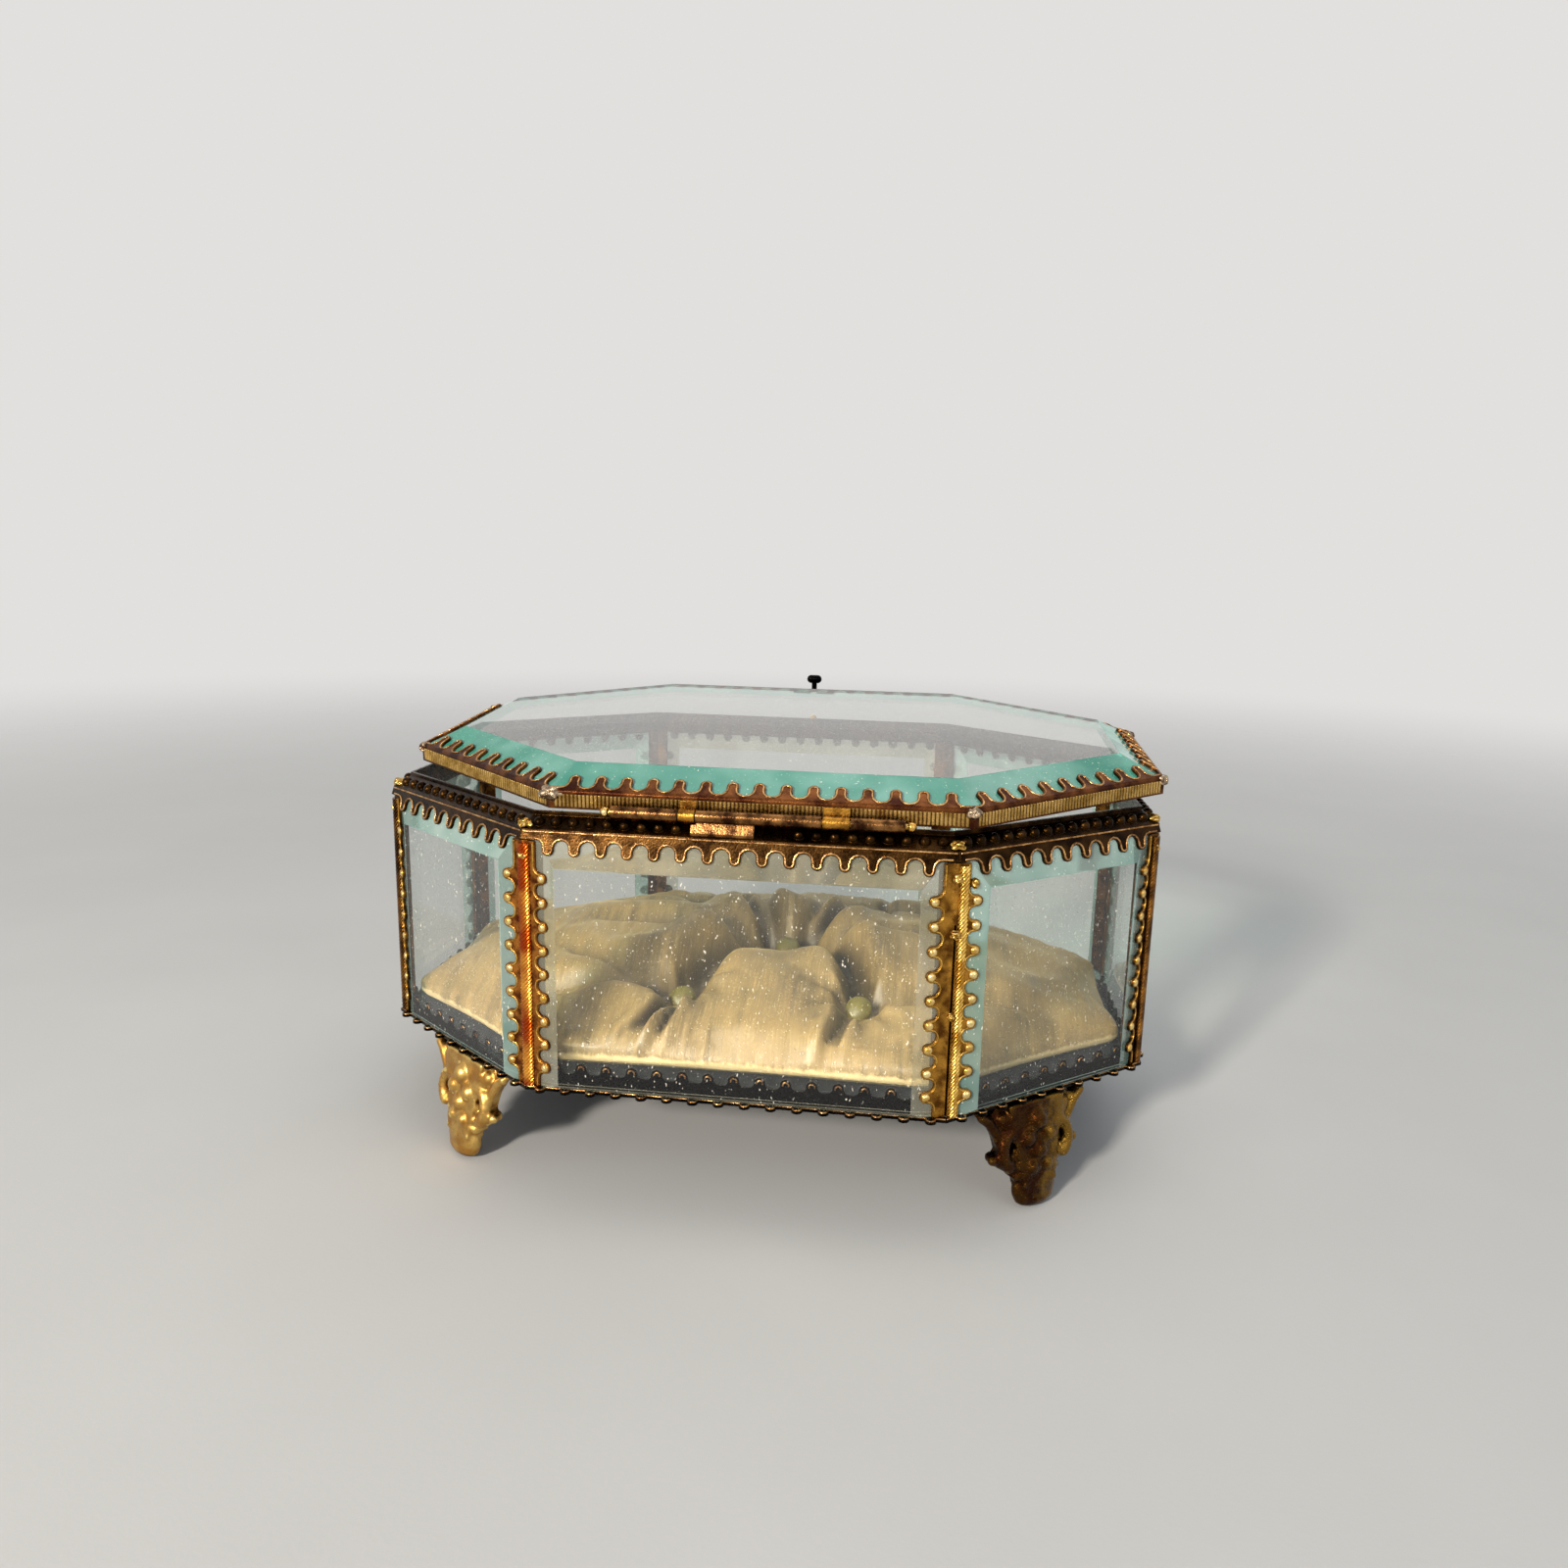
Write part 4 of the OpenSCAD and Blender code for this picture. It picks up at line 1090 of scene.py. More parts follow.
@dataclass
class PostWork:
    """Roped ribs, embossed lines and domed knobs on the corner posts."""

    # The strip and its teeth
    band: float = 2.4
    tooth: float = 2.2
    pitch: float = 4.1
    inset: float = 0.28
    line: float = 0.15
    line_up: float = 0.3
    head_gap: float = 0.4
    # The rope: a flattened round with a lobe for each strand, twisted once in its lead
    rope_r: float = 1.1
    rope_flat: float = 0.62
    rope_in: float = 0.25
    rope_lead: float = 5.6
    rope_step: float = 0.2
    strands: int = 8
    waist: float = 0.84
    swell: float = 0.18
    # Where it stands on the post with the open seam
    beside_seam: float = 1.5
    seam_in: float = 0.15
    knob_d: float = 1.5
    knob_h: float = 0.5
    knob_sunk: float = 0.05

    def half(self, k: int, corner: int) -> Matrix:
        """Give the frame of the half of a post on side k, with y across it and x up.

        Args:
            k: Number of the side that the half lies on.
            corner: Number of the corner.

        Returns:
            The frame, on the outer face, with its z into the case.
        """
        edge = PLAN.pane_in * PLAN.mitre(corner) + PLAN.pane_clear / 2
        mirrored = k != corner
        end = PLAN.right_end(k, 0.0) if mirrored else PLAN.left_end(k, 0.0)
        at = PLAN.side(k) @ Matrix.Translation((end, 0.0, 0.0))
        if mirrored:
            at = at @ Matrix.Scale(-1.0, 4, (1.0, 0.0, 0.0))
        return (
            at @ Matrix.Translation((edge, PLAN.sheet, 0.0))
            @ Matrix.Rotation(-math.pi / 2 - PLAN.side_slope, 4, "Z")
            @ Matrix.Rotation(-math.pi / 2, 4, "Y")
            @ Matrix.Translation((0.0, self.band - edge, -PLAN.sheet))
        )

    def rows(self) -> ToothRow:
        """Give the row of teeth up a post.

        Returns:
            The row, from the sill to the teeth of the rim.
        """
        foot = PLAN.case_z + PLAN.sheet + PLAN.tooth_w
        head = PLAN.fold_z - PLAN.rim_band - PLAN.rim_tooth - PLAN.tooth_w
        return ToothRow(foot, head, self.tooth, self.pitch, inset=self.inset)

    def knob(self) -> bpy.types.Object:
        """Model the low dome that is embossed on the end of a tooth.

        Returns:
            The dome, in millimetres, with its foot at the origin.
        """
        bpy.ops.object.select_all(action="DESELECT")
        bpy.ops.mesh.primitive_uv_sphere_add(segments=14, ring_count=8, radius=self.knob_d / 2)
        piece = newest("knob")
        bpy.ops.object.mode_set(mode="EDIT")
        bpy.ops.mesh.select_all(action="SELECT")
        bpy.ops.mesh.bisect(
            plane_co=(0.0, 0.0, 0.0), plane_no=(0.0, 0.0, 1.0), clear_outer=True, use_fill=True)
        bpy.ops.mesh.select_all(action="SELECT")
        bpy.ops.transform.resize(
            value=(1.0, 1.0, 2 * self.knob_h / self.knob_d), center_override=(0.0, 0.0, 0.0))
        bpy.ops.object.mode_set(mode="OBJECT")
        return piece

    def rope(self, length: float) -> bpy.types.Object:
        """Model a flattened, twisted rope, upright, with its foot at the origin.

        Args:
            length: Length of the rope.

        Returns:
            The rope, in millimetres.
        """
        bpy.ops.object.select_all(action="DESELECT")
        bpy.ops.mesh.primitive_cylinder_add(
            vertices=64, radius=self.rope_r, depth=self.rope_step, end_fill_type="NOTHING",
            location=(0.0, 0.0, self.rope_step / 2))
        piece = newest("rope")
        baked()
        for vertex in piece.data.vertices:
            turn = math.atan2(vertex.co.y, vertex.co.x)
            reach = self.waist + self.swell * abs(math.cos(self.strands / 2 * turn))
            vertex.co.x *= reach
            vertex.co.y *= reach
        count = int(length / self.rope_step)
        modified(
            piece, "ARRAY", count=count, use_relative_offset=False, use_constant_offset=True,
            constant_offset_displace=(0.0, 0.0, self.rope_step), use_merge_vertices=True,
            merge_threshold=0.01)
        for vertex in piece.data.vertices:
            twist = Matrix.Rotation(math.tau * vertex.co.z / self.rope_lead, 3, "Z")
            vertex.co = twist @ vertex.co
            vertex.co.y *= self.rope_flat
        bpy.ops.object.mode_set(mode="EDIT")
        bpy.ops.mesh.select_all(action="SELECT")
        bpy.ops.mesh.fill_holes(sides=0)
        bpy.ops.mesh.normals_make_consistent(inside=False)
        bpy.ops.object.mode_set(mode="OBJECT")
        return piece

    def build(self, finishes: Finishes) -> None:
        """Make the work of each post.

        Args:
            finishes: The casket's finishes.
        """
        knob = self.knob()
        foot = PLAN.case_z + PLAN.sheet
        head = PLAN.fold_z - PLAN.rim_band - self.head_gap
        tip = self.tooth - PLAN.tooth_w / 2
        rope = self.rope(head - foot)
        row = self.rows()
        # The ropes of the other posts take painted shade
        ropes = {COPPER_POST: finishes.copper, OPEN_POST: finishes.gilt_rope}
        for corner, name in enumerate(POST_NAMES):
            waves, knobs = [], []
            for k in (corner, corner - 1):
                across = self.half(k, corner)
                waves.append(laid(across, row.border(foot + self.line_up, head)))
                for x in row.centres():
                    at = Matrix.Translation((x, tip, self.knob_sunk))
                    knobs.append(placed(knob, across @ at))
            piece = wire(f"post_border_{name}", waves, self.line)
            dress(piece, finishes.post_line, Body.CASE)
            piece = in_metres(joined(knobs, f"post_knobs_{name}"))
            dress(piece, finishes.gilt, Body.CASE)
            piece = named(placed(rope, self.rib_place(corner, foot)), f"post_rope_{name}")
            dress(in_metres(piece), ropes.get(corner, finishes.shaded_rope), Body.CASE)
        discard(knob)
        discard(rope)

    def rib_place(self, corner: int, foot: float) -> Matrix:
        """Tell where the rope of a post stands: on the fold, or beside the open seam.

        Args:
            corner: Number of the corner.
            foot: Level of its foot.

        Returns:
            Its place.
        """
        side = PLAN.side(corner)
        if corner == OPEN_POST:
            at = Vector((PLAN.left_end(corner, 0.0) + self.beside_seam, self.seam_in, foot))
            return side @ Matrix.Translation(at)
        at = Vector((PLAN.left_end(corner, self.rope_in), self.rope_in, foot))
        lean = math.atan(PLAN.mitre(corner))
        return side @ Matrix.Translation(at) @ Matrix.Rotation(-lean, 4, "Z")


@dataclass(frozen=True)
class Lump:
    """A run of solder: its place, its radii and the seed of its roughness."""

    at: Vector
    radii: tuple[float, float, float]
    seed: float


@dataclass
class SolderWork:
    """Solder that was left standing at the corners of the case and of the lid."""

    uneven: float = 0.34
    dents: float = 1.7
    post_r: tuple[float, float, float] = (0.9, 0.9, 0.8)
    post_in: float = 0.3
    post_down: float = 4.3
    mitre_r: tuple[float, float, float] = (1.3, 1.0, 0.8)
    mitre_in: float = 1.0
    mitre_up: float = 0.75
    lid_r: tuple[float, float, float] = (1.2, 1.1, 1.0)
    lid_first_r: tuple[float, float, float] = (2.0, 1.1, 1.2)
    lid_in: float = 0.5
    lid_up: float = 2.4
    # Steps of the seed from corner to corner, on the posts, the mitres and the lid
    seeds: tuple[float, float, float] = (3.1, 5.3, 7.7)
    # Place along, across and up, and radius, of the beads beside the open seam
    seam_beads: tuple[tuple[float, float, float, float], ...] = (
        (0.1, 0.2, 50.6, 0.85), (2.9, -0.5, 58.8, 0.8), (0.0, 0.1, 37.0, 0.6),
    )

    def model(self, lump: Lump) -> bpy.types.Object:
        """Model one lump.

        Args:
            lump: Its place and size.

        Returns:
            The lump, in millimetres.
        """
        bpy.ops.object.select_all(action="DESELECT")
        bpy.ops.mesh.primitive_ico_sphere_add(subdivisions=4, radius=1.0)
        piece = newest("lump")
        for vertex in piece.data.vertices:
            out = vertex.co.normalized()
            dent = noise.noise(out * self.dents + Vector((lump.seed, 0.0, 0.0)))
            swell = 1 + self.uneven * dent
            place = Vector(r * c for r, c in zip(lump.radii, out * swell))
            vertex.co = place + lump.at
        return piece

    def build(self, finishes: Finishes) -> None:
        """Make the lumps of the case and of the lid.

        Args:
            finishes: The casket's finishes.
        """
        case, lid = [], []
        lid_in = PLAN.lid_inset + self.lid_in
        post_seed, mitre_seed, lid_seed = self.seeds
        for k in range(len(SIDE_NAMES)):
            side = PLAN.side(k)
            corner = side @ Vector(
                (PLAN.left_end(k, self.post_in), self.post_in, PLAN.fold_z - self.post_down))
            case.append(self.model(Lump(corner, self.post_r, post_seed * k)))
            mitre = side @ Vector(
                (PLAN.left_end(k, self.mitre_in), self.mitre_in, PLAN.fold_z + self.mitre_up))
            case.append(self.model(Lump(mitre, self.mitre_r, mitre_seed * k + 1)))
            tip = PLAN.lid_side(k) @ Vector((PLAN.left_end(k, lid_in), lid_in, self.lid_up))
            radii = self.lid_first_r if k == 0 else self.lid_r
            lid.append(self.model(Lump(tip, radii, lid_seed * k + 2)))
        side = PLAN.side(OPEN_POST)
        start = PLAN.left_end(OPEN_POST, 0.0)
        for x, y, z, radius in self.seam_beads:
            at = side @ Vector((start + x, y, z))
            case.append(self.model(Lump(at, (radius, radius, radius), z)))
        piece = in_metres(joined(case, "case_solder"))
        dress(piece, finishes.gilt_solder, Body.CASE)
        dress(in_metres(joined(lid, "lid_solder")), finishes.solder, Body.LID)


# ---------------------------------------------------------------- glass


@dataclass
class GlassWork:
    """The panes and the lid plate, with their arrises taken off and their bevels ground."""

    arris: float = 0.1
    arris_angle: float = 10.0
    flat_dot: float = 0.995
    crisp: float = 5.0

    def plate(
        self, node: str, out: Vector, ground: bpy.types.Material, finishes: Finishes, body: Body,
    ) -> None:
        """Make one plate from the frame's solid.

        Args:
            node: Name of the solid.
            out: The way that its flat faces.
            ground: Finish of its bevels and edges.
            finishes: The casket's finishes.
            body: The body that it rides on.
        """
        piece = merged_copy(node, f"bevelled_{node}")
        modified(
            piece, "BEVEL", width=self.arris * MM, segments=1, limit_method="ANGLE",
            angle_limit=math.radians(self.arris_angle))
        flat = finishes.lid_flat if body is Body.LID else finishes.flat
        piece.data.materials.append(flat)
        piece.data.materials.append(ground)
        for face in piece.data.polygons:
            face.material_index = 0 if abs(face.normal.dot(out)) > self.flat_dot else 1
        dress(piece, flat, body, (node,), self.crisp)

    def build(self, finishes: Finishes) -> None:
        """Make the eight panes and the lid plate.

        Args:
            finishes: The casket's finishes.
        """
        for k, name in enumerate(SIDE_NAMES):
            out = Matrix.Rotation(PLAN.heading(k), 3, "Z") @ Vector((0.0, -1.0, 0.0))
            ground = finishes.near_bevel if k in LONG_SIDES else finishes.bevel
            self.plate(f"glass_{name}", out, ground, finishes, Body.CASE)
        up = Matrix.Rotation(PLAN.ajar, 3, "X") @ Vector((0.0, 0.0, 1.0))
        self.plate("lid_glass", up, finishes.lid_bevel, finishes, Body.LID)


# ---------------------------------------------------------------- feet


@dataclass
class LeafFoot:
    """A cast foot: a hoof, a stem, scrolled leaves and two arms that reach the case.

    A foot is drawn with x across it, y into the box and z up. Its face stands out
    from the case by more towards the toe.
    """

    height: float = 19.0
    half_w: float = 12.5
    depth: float = 6.9
    splay: float = 3.0
    flare: float = 1.4
    metal: float = 1.6
    offset: float = 3.5
    hoof_top: float = 4.5
    stroke_step: float = 0.55
    scroll_r: float = 0.85
    scroll_swell: float = 0.25
    scroll_proud: float = 0.8
    # First and last angle of a scroll's ridge, and the step between them
    scroll_arc: tuple[int, int, int] = (-70, 250, 20)
    curl_r: float = 0.9
    curl_out: float = 0.8
    curl_down: float = 0.62
    curl_proud: float = 0.6
    voxel: float = 0.3
    smoothing: int = 5
    parts: list[bpy.types.Object] = field(default_factory=list)
    places: tuple[tuple[str, int, int], ...] = (
        ("back_right", 1, -1), ("front_right", 3, 1), ("front_left", 5, -1), ("back_left", 7, 1),
    )

    def face(self, z: float, proud: float) -> float:
        """Depth of a point that stands proud of the sheet of the foot at a level."""
        return -self.splay * (1 - min(1.0, z / self.height)) ** self.flare - self.metal - proud

    def blob(self, x: float, z: float, radii: tuple[float, float, float], proud: float) -> None:
        """Add an egg-shaped swelling.

        Args:
            x: Place across the foot.
            z: Level.
            radii: Its radii across, in depth and up.
            proud: How far its middle stands out of the foot's sheet.
        """
        bpy.ops.object.select_all(action="DESELECT")
        bpy.ops.mesh.primitive_uv_sphere_add(
            segments=20, ring_count=12, radius=1.0, location=(x, self.face(z, proud), z))
        bpy.context.object.scale = radii
        baked()
        self.parts.append(bpy.context.object)

    def stroke(self, points: list[tuple[float, float, float]], proud: float) -> None:
        """Add a tapering ridge through points.

        Args:
            points: Place across, level and radius of each.
            proud: How far its middle stands out of the foot's sheet.
        """
        for (x0, z0, r0), (x1, z1, r1) in zip(points, points[1:]):
            steps = max(2, int(math.hypot(x1 - x0, z1 - z0) / self.stroke_step))
            for i in range(steps):
                u = i / steps
                radius = r0 + (r1 - r0) * u
                x, z = x0 + (x1 - x0) * u, z0 + (z1 - z0) * u
                self.blob(x, z, (radius, radius, radius), proud)

    def scroll(self, x: float, z: float, across: float, up: float, side: int) -> None:
        """Add a C-scroll: a ridge round an oval hollow, with a curled end.

        Args:
            x: Place of the hollow's middle across the foot.
            z: Its level.
            across: Radius of the ridge across.
            up: Radius of the ridge upwards.
            side: One to open to the right and minus one to open to the left.
        """
        line = []
        first, last, step = self.scroll_arc
        for degrees in range(first, last + 1, step):
            a = math.radians(degrees)
            radius = self.scroll_r + self.scroll_swell * math.sin(a / 2)
            line.append((x - side * across * math.cos(a), z + up * math.sin(a), radius))
        self.stroke(line, self.scroll_proud)
        curl_x, curl_z = x + side * self.curl_out, z - self.curl_down * up
        self.blob(curl_x, curl_z, (self.curl_r,) * 3, self.curl_proud)

    def hoof_and_stem(self) -> None:
        """Lay on the hoof with its sole and ankle, then the stem and the boss above it."""
        self.blob(0.0, 3.4, (4.7, 2.1, 3.7), -0.5)
        self.blob(0.0, 1.8, (4.2, 2.1, 1.9), -0.7)
        self.blob(0.0, 6.2, (3.7, 1.9, 3.0), -0.3)
        self.stroke([(0.0, 8.0, 1.6), (0.3, 11.0, 1.5), (0.0, 13.0, 1.4)], 0.5)
        self.blob(0.2, 14.8, (1.5, 1.3, 1.5), 1.1)

    def leaf(self, side: int) -> None:
        """Lay on one side's scroll, its lower leaf, the arm to the case and its buds.

        Args:
            side: One for the right side and minus one for the left.
        """
        self.blob(side * 4.0, 6.3, (1.2, 1.2, 1.1), 0.1)
        self.scroll(side * 5.0, 11.0, 2.3, 3.1, side)
        lower = [(4.4, 7.4, 0.8), (7.0, 8.6, 0.85), (8.8, 9.8, 0.8)]
        self.stroke([(side * x, z, radius) for x, z, radius in lower], 0.0)
        self.blob(side * 9.0, 9.9, (1.0, 0.9, 0.9), 0.1)
        arm = [(7.2, 11.8, 0.8), (8.0, 14.0, 0.9), (9.6, 16.4, 0.9), (11.7, 18.1, 0.8)]
        self.stroke([(side * x, z, radius) for x, z, radius in arm], 0.1)
        self.blob(side * 5.6, 15.8, (2.0, 1.1, 1.7), 0.4)
        self.blob(side * 2.6, 17.0, (1.7, 1.1, 1.5), 0.5)
        self.blob(side * 1.7, 13.2, (1.4, 1.1, 1.6), 1.2)
        self.blob(side * 1.1, 10.3, (1.1, 1.0, 1.6), 1.1)

    def model(self) -> bpy.types.Object:
        """Model the foot once, from the frame's own cast sheet and what is laid on it.

        Returns:
            The foot in its own frame, in millimetres.
        """
        name, k, towards = self.places[-1]
        sheet = merged_copy(f"foot_{name}", "foot_sheet")
        sheet.data.transform(Matrix.Scale(1 / MM, 4))
        sheet.data.transform(self.place(k, towards).inverted())
        only(sheet)
        bpy.ops.object.mode_set(mode="EDIT")
        bpy.ops.mesh.select_all(action="SELECT")
        bpy.ops.mesh.bisect(
            plane_co=(0.0, 0.0, self.hoof_top), plane_no=(0.0, 0.0, 1.0), clear_inner=True,
            use_fill=True)
        bpy.ops.object.mode_set(mode="OBJECT")
        self.parts.append(sheet)
        self.hoof_and_stem()
        for side in (-1, 1):
            self.leaf(side)
        foot = joined(self.parts, "foot")
        modified(foot, "REMESH", mode="VOXEL", voxel_size=self.voxel)
        modified(foot, "SMOOTH", factor=0.5, iterations=self.smoothing)
        low = Vector((-self.half_w, -self.depth, 0.0))
        high = Vector((self.half_w, 0.0, self.height))
        for vertex in foot.data.vertices:
            vertex.co = Vector(min(max(c, a), b) for c, a, b in zip(vertex.co, low, high))
        return foot

    def place(self, k: int, towards: int) -> Matrix:
        """Frame of the foot under corner panel k, moved towards the nearer long side."""
        return PLAN.side(k) @ Matrix.Translation((towards * self.offset, self.metal, 0.0))

    def build(self, finishes: Finishes) -> None:
        """Model the foot and copy it to its four places.

        Args:
            finishes: The casket's finishes.
        """
        foot = self.model()
        for name, k, towards in self.places:
            piece = named(placed(foot, self.place(k, towards)), f"leaf_foot_{name}")
            gilt = name == "back_left"
            dress(
                in_metres(piece), finishes.gilt_foot if gilt else finishes.dark_foot, Body.CASE,
                (f"foot_{name}",))
        discard(foot)


# ---------------------------------------------------------------- lining


@dataclass(frozen=True)
class Fold:
    """A crease in the silk between two points, with the cloth standing up beside it.

    A fold fades towards its end, and its banks rise gradually from its start.
    """

    BANK_AT = 2.2
    BANK_W = 1.5
    BANK_H = 0.8
    END_DEPTH = 0.25
    END_FADE = 3.0
    START_FADE = 3.5

    start: tuple[float, float]
    end: tuple[float, float]
    depth: float
    width: float
    bow: float = 0.0
    left_bank: float = 0.5

    def lift(self, place: Vector) -> float:
        """How far the fold lifts the cloth at a place in plan.

        Args:
            place: The place.

        Returns:
            The lift, below zero in the crease.
        """
        start, end = Vector(self.start), Vector(self.end)
        along = end - start
        share = max(0.0, min(1.0, (place - start).dot(along) / along.length_squared))
        beside = Vector((-along.y, along.x)).normalized()
        off = place - start - along * share
        side = off.dot(beside) - math.sin(share * math.pi) * self.bow
        past = abs(off.dot(along.normalized()))
        near = math.hypot(side, past)
        fade = min(1.0, self.END_DEPTH + self.END_FADE * (1 - share))
        gathered = min(1.0, self.START_FADE * share)
        crease = math.exp(-((near / self.width) ** 2))
        beyond = near - self.BANK_AT * self.width
        bank = math.exp(-((beyond / (self.BANK_W * self.width)) ** 2))
        share_up = self.left_bank if side > 0 else 1 - self.left_bank
        return self.depth * fade * (self.BANK_H * share_up * bank * gathered - crease)


@dataclass(frozen=True)
class Lobe:
    """A stuffed swelling between folds: its middle, its half sizes, its turn and its rise."""

    at: tuple[float, float]
    half: tuple[float, float]
    turn: float
    rise: float

    def lift(self, place: Vector) -> float:
        """How far the lobe lifts the cloth at a place in plan."""
        off = Matrix.Rotation(-math.radians(self.turn), 2) @ (place - Vector(self.at))
        return self.rise * math.exp(-((off.x / self.half[0]) ** 2 + (off.y / self.half[1]) ** 2))


@dataclass
class SilkPad:
    """The tufted pad: a stuffed silk cover drawn down by its buttons."""

    # Where the buttons are sewn: four round a fifth, which stands off the middle
    shift: float = 3.5
    tuft_x: float = 16.0
    tuft_y: float = 25.5
    voxel: float = 1.3
    shrink: float = 0.5
    # How the cover is blown up as cloth, and the most that a point may move
    cloth_quality: int = 5
    cloth_mass: float = 0.2
    blow_steps: int = 20
    pressure: float = 4.0
    most: float = 1.1
    foot_h: float = 0.6
    # Levels above the base: folds fade in over the crown, and none goes below the deepest
    crown_from: float = 2.0
    crown_rise: float = 3.5
    deepest: float = 6.2
    # Small and broad pleats in a ring round each button
    pleat: float = 0.7
    pleats: int = 9
    broad_pleats: int = 5
    broad_share: float = 0.6
    pleat_turn: float = 1.7
    pleat_ring: float = 5.0
    pleat_fade: float = 3.5
    # Uneven stuffing, and the fine crinkles of old silk
    rumple: float = 0.8
    rumple_size: float = 8.0
    crinkle: float = 0.4
    crinkle_size: float = 3.4
    crinkle_long: float = 0.45
    # The cloth that a button holds down, and the ring in which it comes free
    sewn_past: float = 0.4
    sewn_drop: float = 1.2
    sewn_ring: float = 3.0
    # Gathers on the front and back of the roll
    gather: float = 0.16
    gather_from: float = 30.0
    gather_rate: float = 2.3
    gather_sway: float = 1.5
    gather_drift: float = 0.4
    # A button: its radius, its pleats and how far its halves are flattened
    button_r: float = 2.35
    button_pleats: int = 12
    button_pleat: float = 0.1
    top_pleat: float = 0.03
    dome: float = 0.5
    underside: float = 0.4
    seat_r: float = 2.4
    # How far a button is moved out and up, and its lean in degrees
    near_seat: tuple[float, float, float] = (0.6, 0.9, 46.0)
    far_seat: tuple[float, float, float] = (0.0, 1.7, 24.0)
    pad_fill: float = 0.7
    button_fill: float = 0.9

    def tufts(self) -> list[Vector]:
        """Where the buttons are sewn, in plan."""
        outer = [(x, y) for x in (-self.tuft_x, self.tuft_x) for y in (-self.tuft_y, self.tuft_y)]
        return [Vector((x + self.shift, y)) for x, y in outer + [(0.0, 0.0)]]

    def folds(self) -> list[Fold]:
        """Give the creases that run from tuft to tuft and out to the rolled edge.

        Returns:
            The folds: those of the middle, then those of the edges, then the long ones.
        """
        mid, left, right = self.shift, self.shift - self.tuft_x, self.shift + self.tuft_x
        near, far = -self.tuft_y, self.tuft_y
        return [
            Fold((mid - 4, -1), (left, near), 5.4, 2.9, -2.4, 0.3),
            Fold((mid + 5, -2), (right, near), 4.8, 2.3, 2.6, 0.6),
            Fold((mid - 2, 2), (left, far), 4.4, 2.0, 1.5),
            Fold((mid + 2, 2), (right, far), 4.6, 2.0, -1.5),
            Fold((left, near), (-21, -43), 2.6, 1.1, 0.8, 0.7),
            Fold((left + 1, near - 3), (-15, -41), 2.0, 0.8, 0.4, 0.6),
            Fold((right, near), (15, -43), 2.4, 1.0, -0.8, 0.3),
            Fold((left, far), (-20, 42), 1.0, 1.5),
            Fold((right, far), (26, 42), 1.0, 1.5),
            Fold((left, near), (-40, -10), 2.4, 2.6, 2.5, 0.6),
            Fold((left, near), (-46, -30), 1.8, 1.9, -1.0),
            Fold((left, far), (-50, 20), 2.0, 2.2, -1.5),
            Fold((right, near), (52, -20), 1.8, 2.2, 1.5),
            Fold((right, far), (50, 22), 2.0, 2.2, 1.5),
            Fold((mid, 0), (-36, 3), 2.6, 2.6, 1.5),
            Fold((mid, 0), (42, 2), 2.2, 2.4, -1.5),
            Fold((mid - 1, 3), (-5, 22), 2.6, 1.5, 1.0),
            Fold((mid + 1, 3), (10, 24), 2.6, 1.4, -1.0),
        ]

    @staticmethod
    def lobes() -> list[Lobe]:
        """Give the swellings that the stuffing makes between the folds, and the hollows.

        Returns:
            The lobes. A hollow has a rise below zero.
        """
        return [
            Lobe((3.0, -26), (9, 12), 0, 2.0), Lobe((-22, -15), (15, 6), 25, 2.4),
            Lobe((-30, 8), (18, 8), -8, 1.8), Lobe((-7, 13), (6, 8), 20, 2.4),
            Lobe((2.5, 15), (4.5, 7), 0, 2.4), Lobe((13, 11), (6, 7), -30, 1.6),
            Lobe((24, -9), (11, 8), 25, 2.4), Lobe((38, 12), (16, 9), 15, 1.4),
            Lobe((42, -14), (14, 8), -15, 1.2), Lobe((-44, -8), (12, 12), 0, 1.0),
            Lobe((10, 37), (30, 7), 0, 2.6), Lobe((3.5, -2.5), (7.5, 6.5), 0, -6.6),
            Lobe((20, -31), (4.5, 5), 0, -1.8), Lobe((-7.5, -28), (3.5, 6), -20, 1.6),
            Lobe((-3, -12), (4, 4), 0, -1.4), Lobe((10, -11), (4, 4), 0, -0.8),
        ]

    def stuff(self, pad: bpy.types.Object) -> None:
        """Blow the cover up as cloth, held at its tufts and under its base.

        Args:
            pad: The pad, in metres. Its points move by the cap at most.
        """
        low = min(v.co.z for v in pad.data.vertices)
        held = pad.vertex_groups.new(name="held")
        tufts = self.tufts()
        for vertex in pad.data.vertices:
            place = Vector((vertex.co.x, vertex.co.y)) / MM
            sewn = min((place - t).length for t in tufts) < self.button_r + self.sewn_past
            under = vertex.co.z < low + self.foot_h * MM
            held.add([vertex.index], 1.0 if under or sewn else 0.0, "REPLACE")
        before = [v.co.copy() for v in pad.data.vertices]
        only(pad)
        cloth = pad.modifiers.new("cloth", "CLOTH")
        cloth.settings.quality = self.cloth_quality
        cloth.settings.mass = self.cloth_mass
        cloth.settings.use_pressure = True
        cloth.settings.uniform_pressure_force = self.pressure
        cloth.settings.effector_weights.gravity = 0.0
        cloth.settings.vertex_group_mass = "held"
        cloth.point_cache.frame_start, cloth.point_cache.frame_end = 1, self.blow_steps
        for step in range(1, self.blow_steps + 1):
            bpy.context.scene.frame_set(step)
        bpy.ops.object.modifier_apply(modifier=cloth.name)
        bpy.context.scene.frame_set(1)
        for vertex, old in zip(pad.data.vertices, before):
            move = vertex.co - old
            if move.length > self.most * MM:
                vertex.co = old + move * (self.most * MM / move.length)

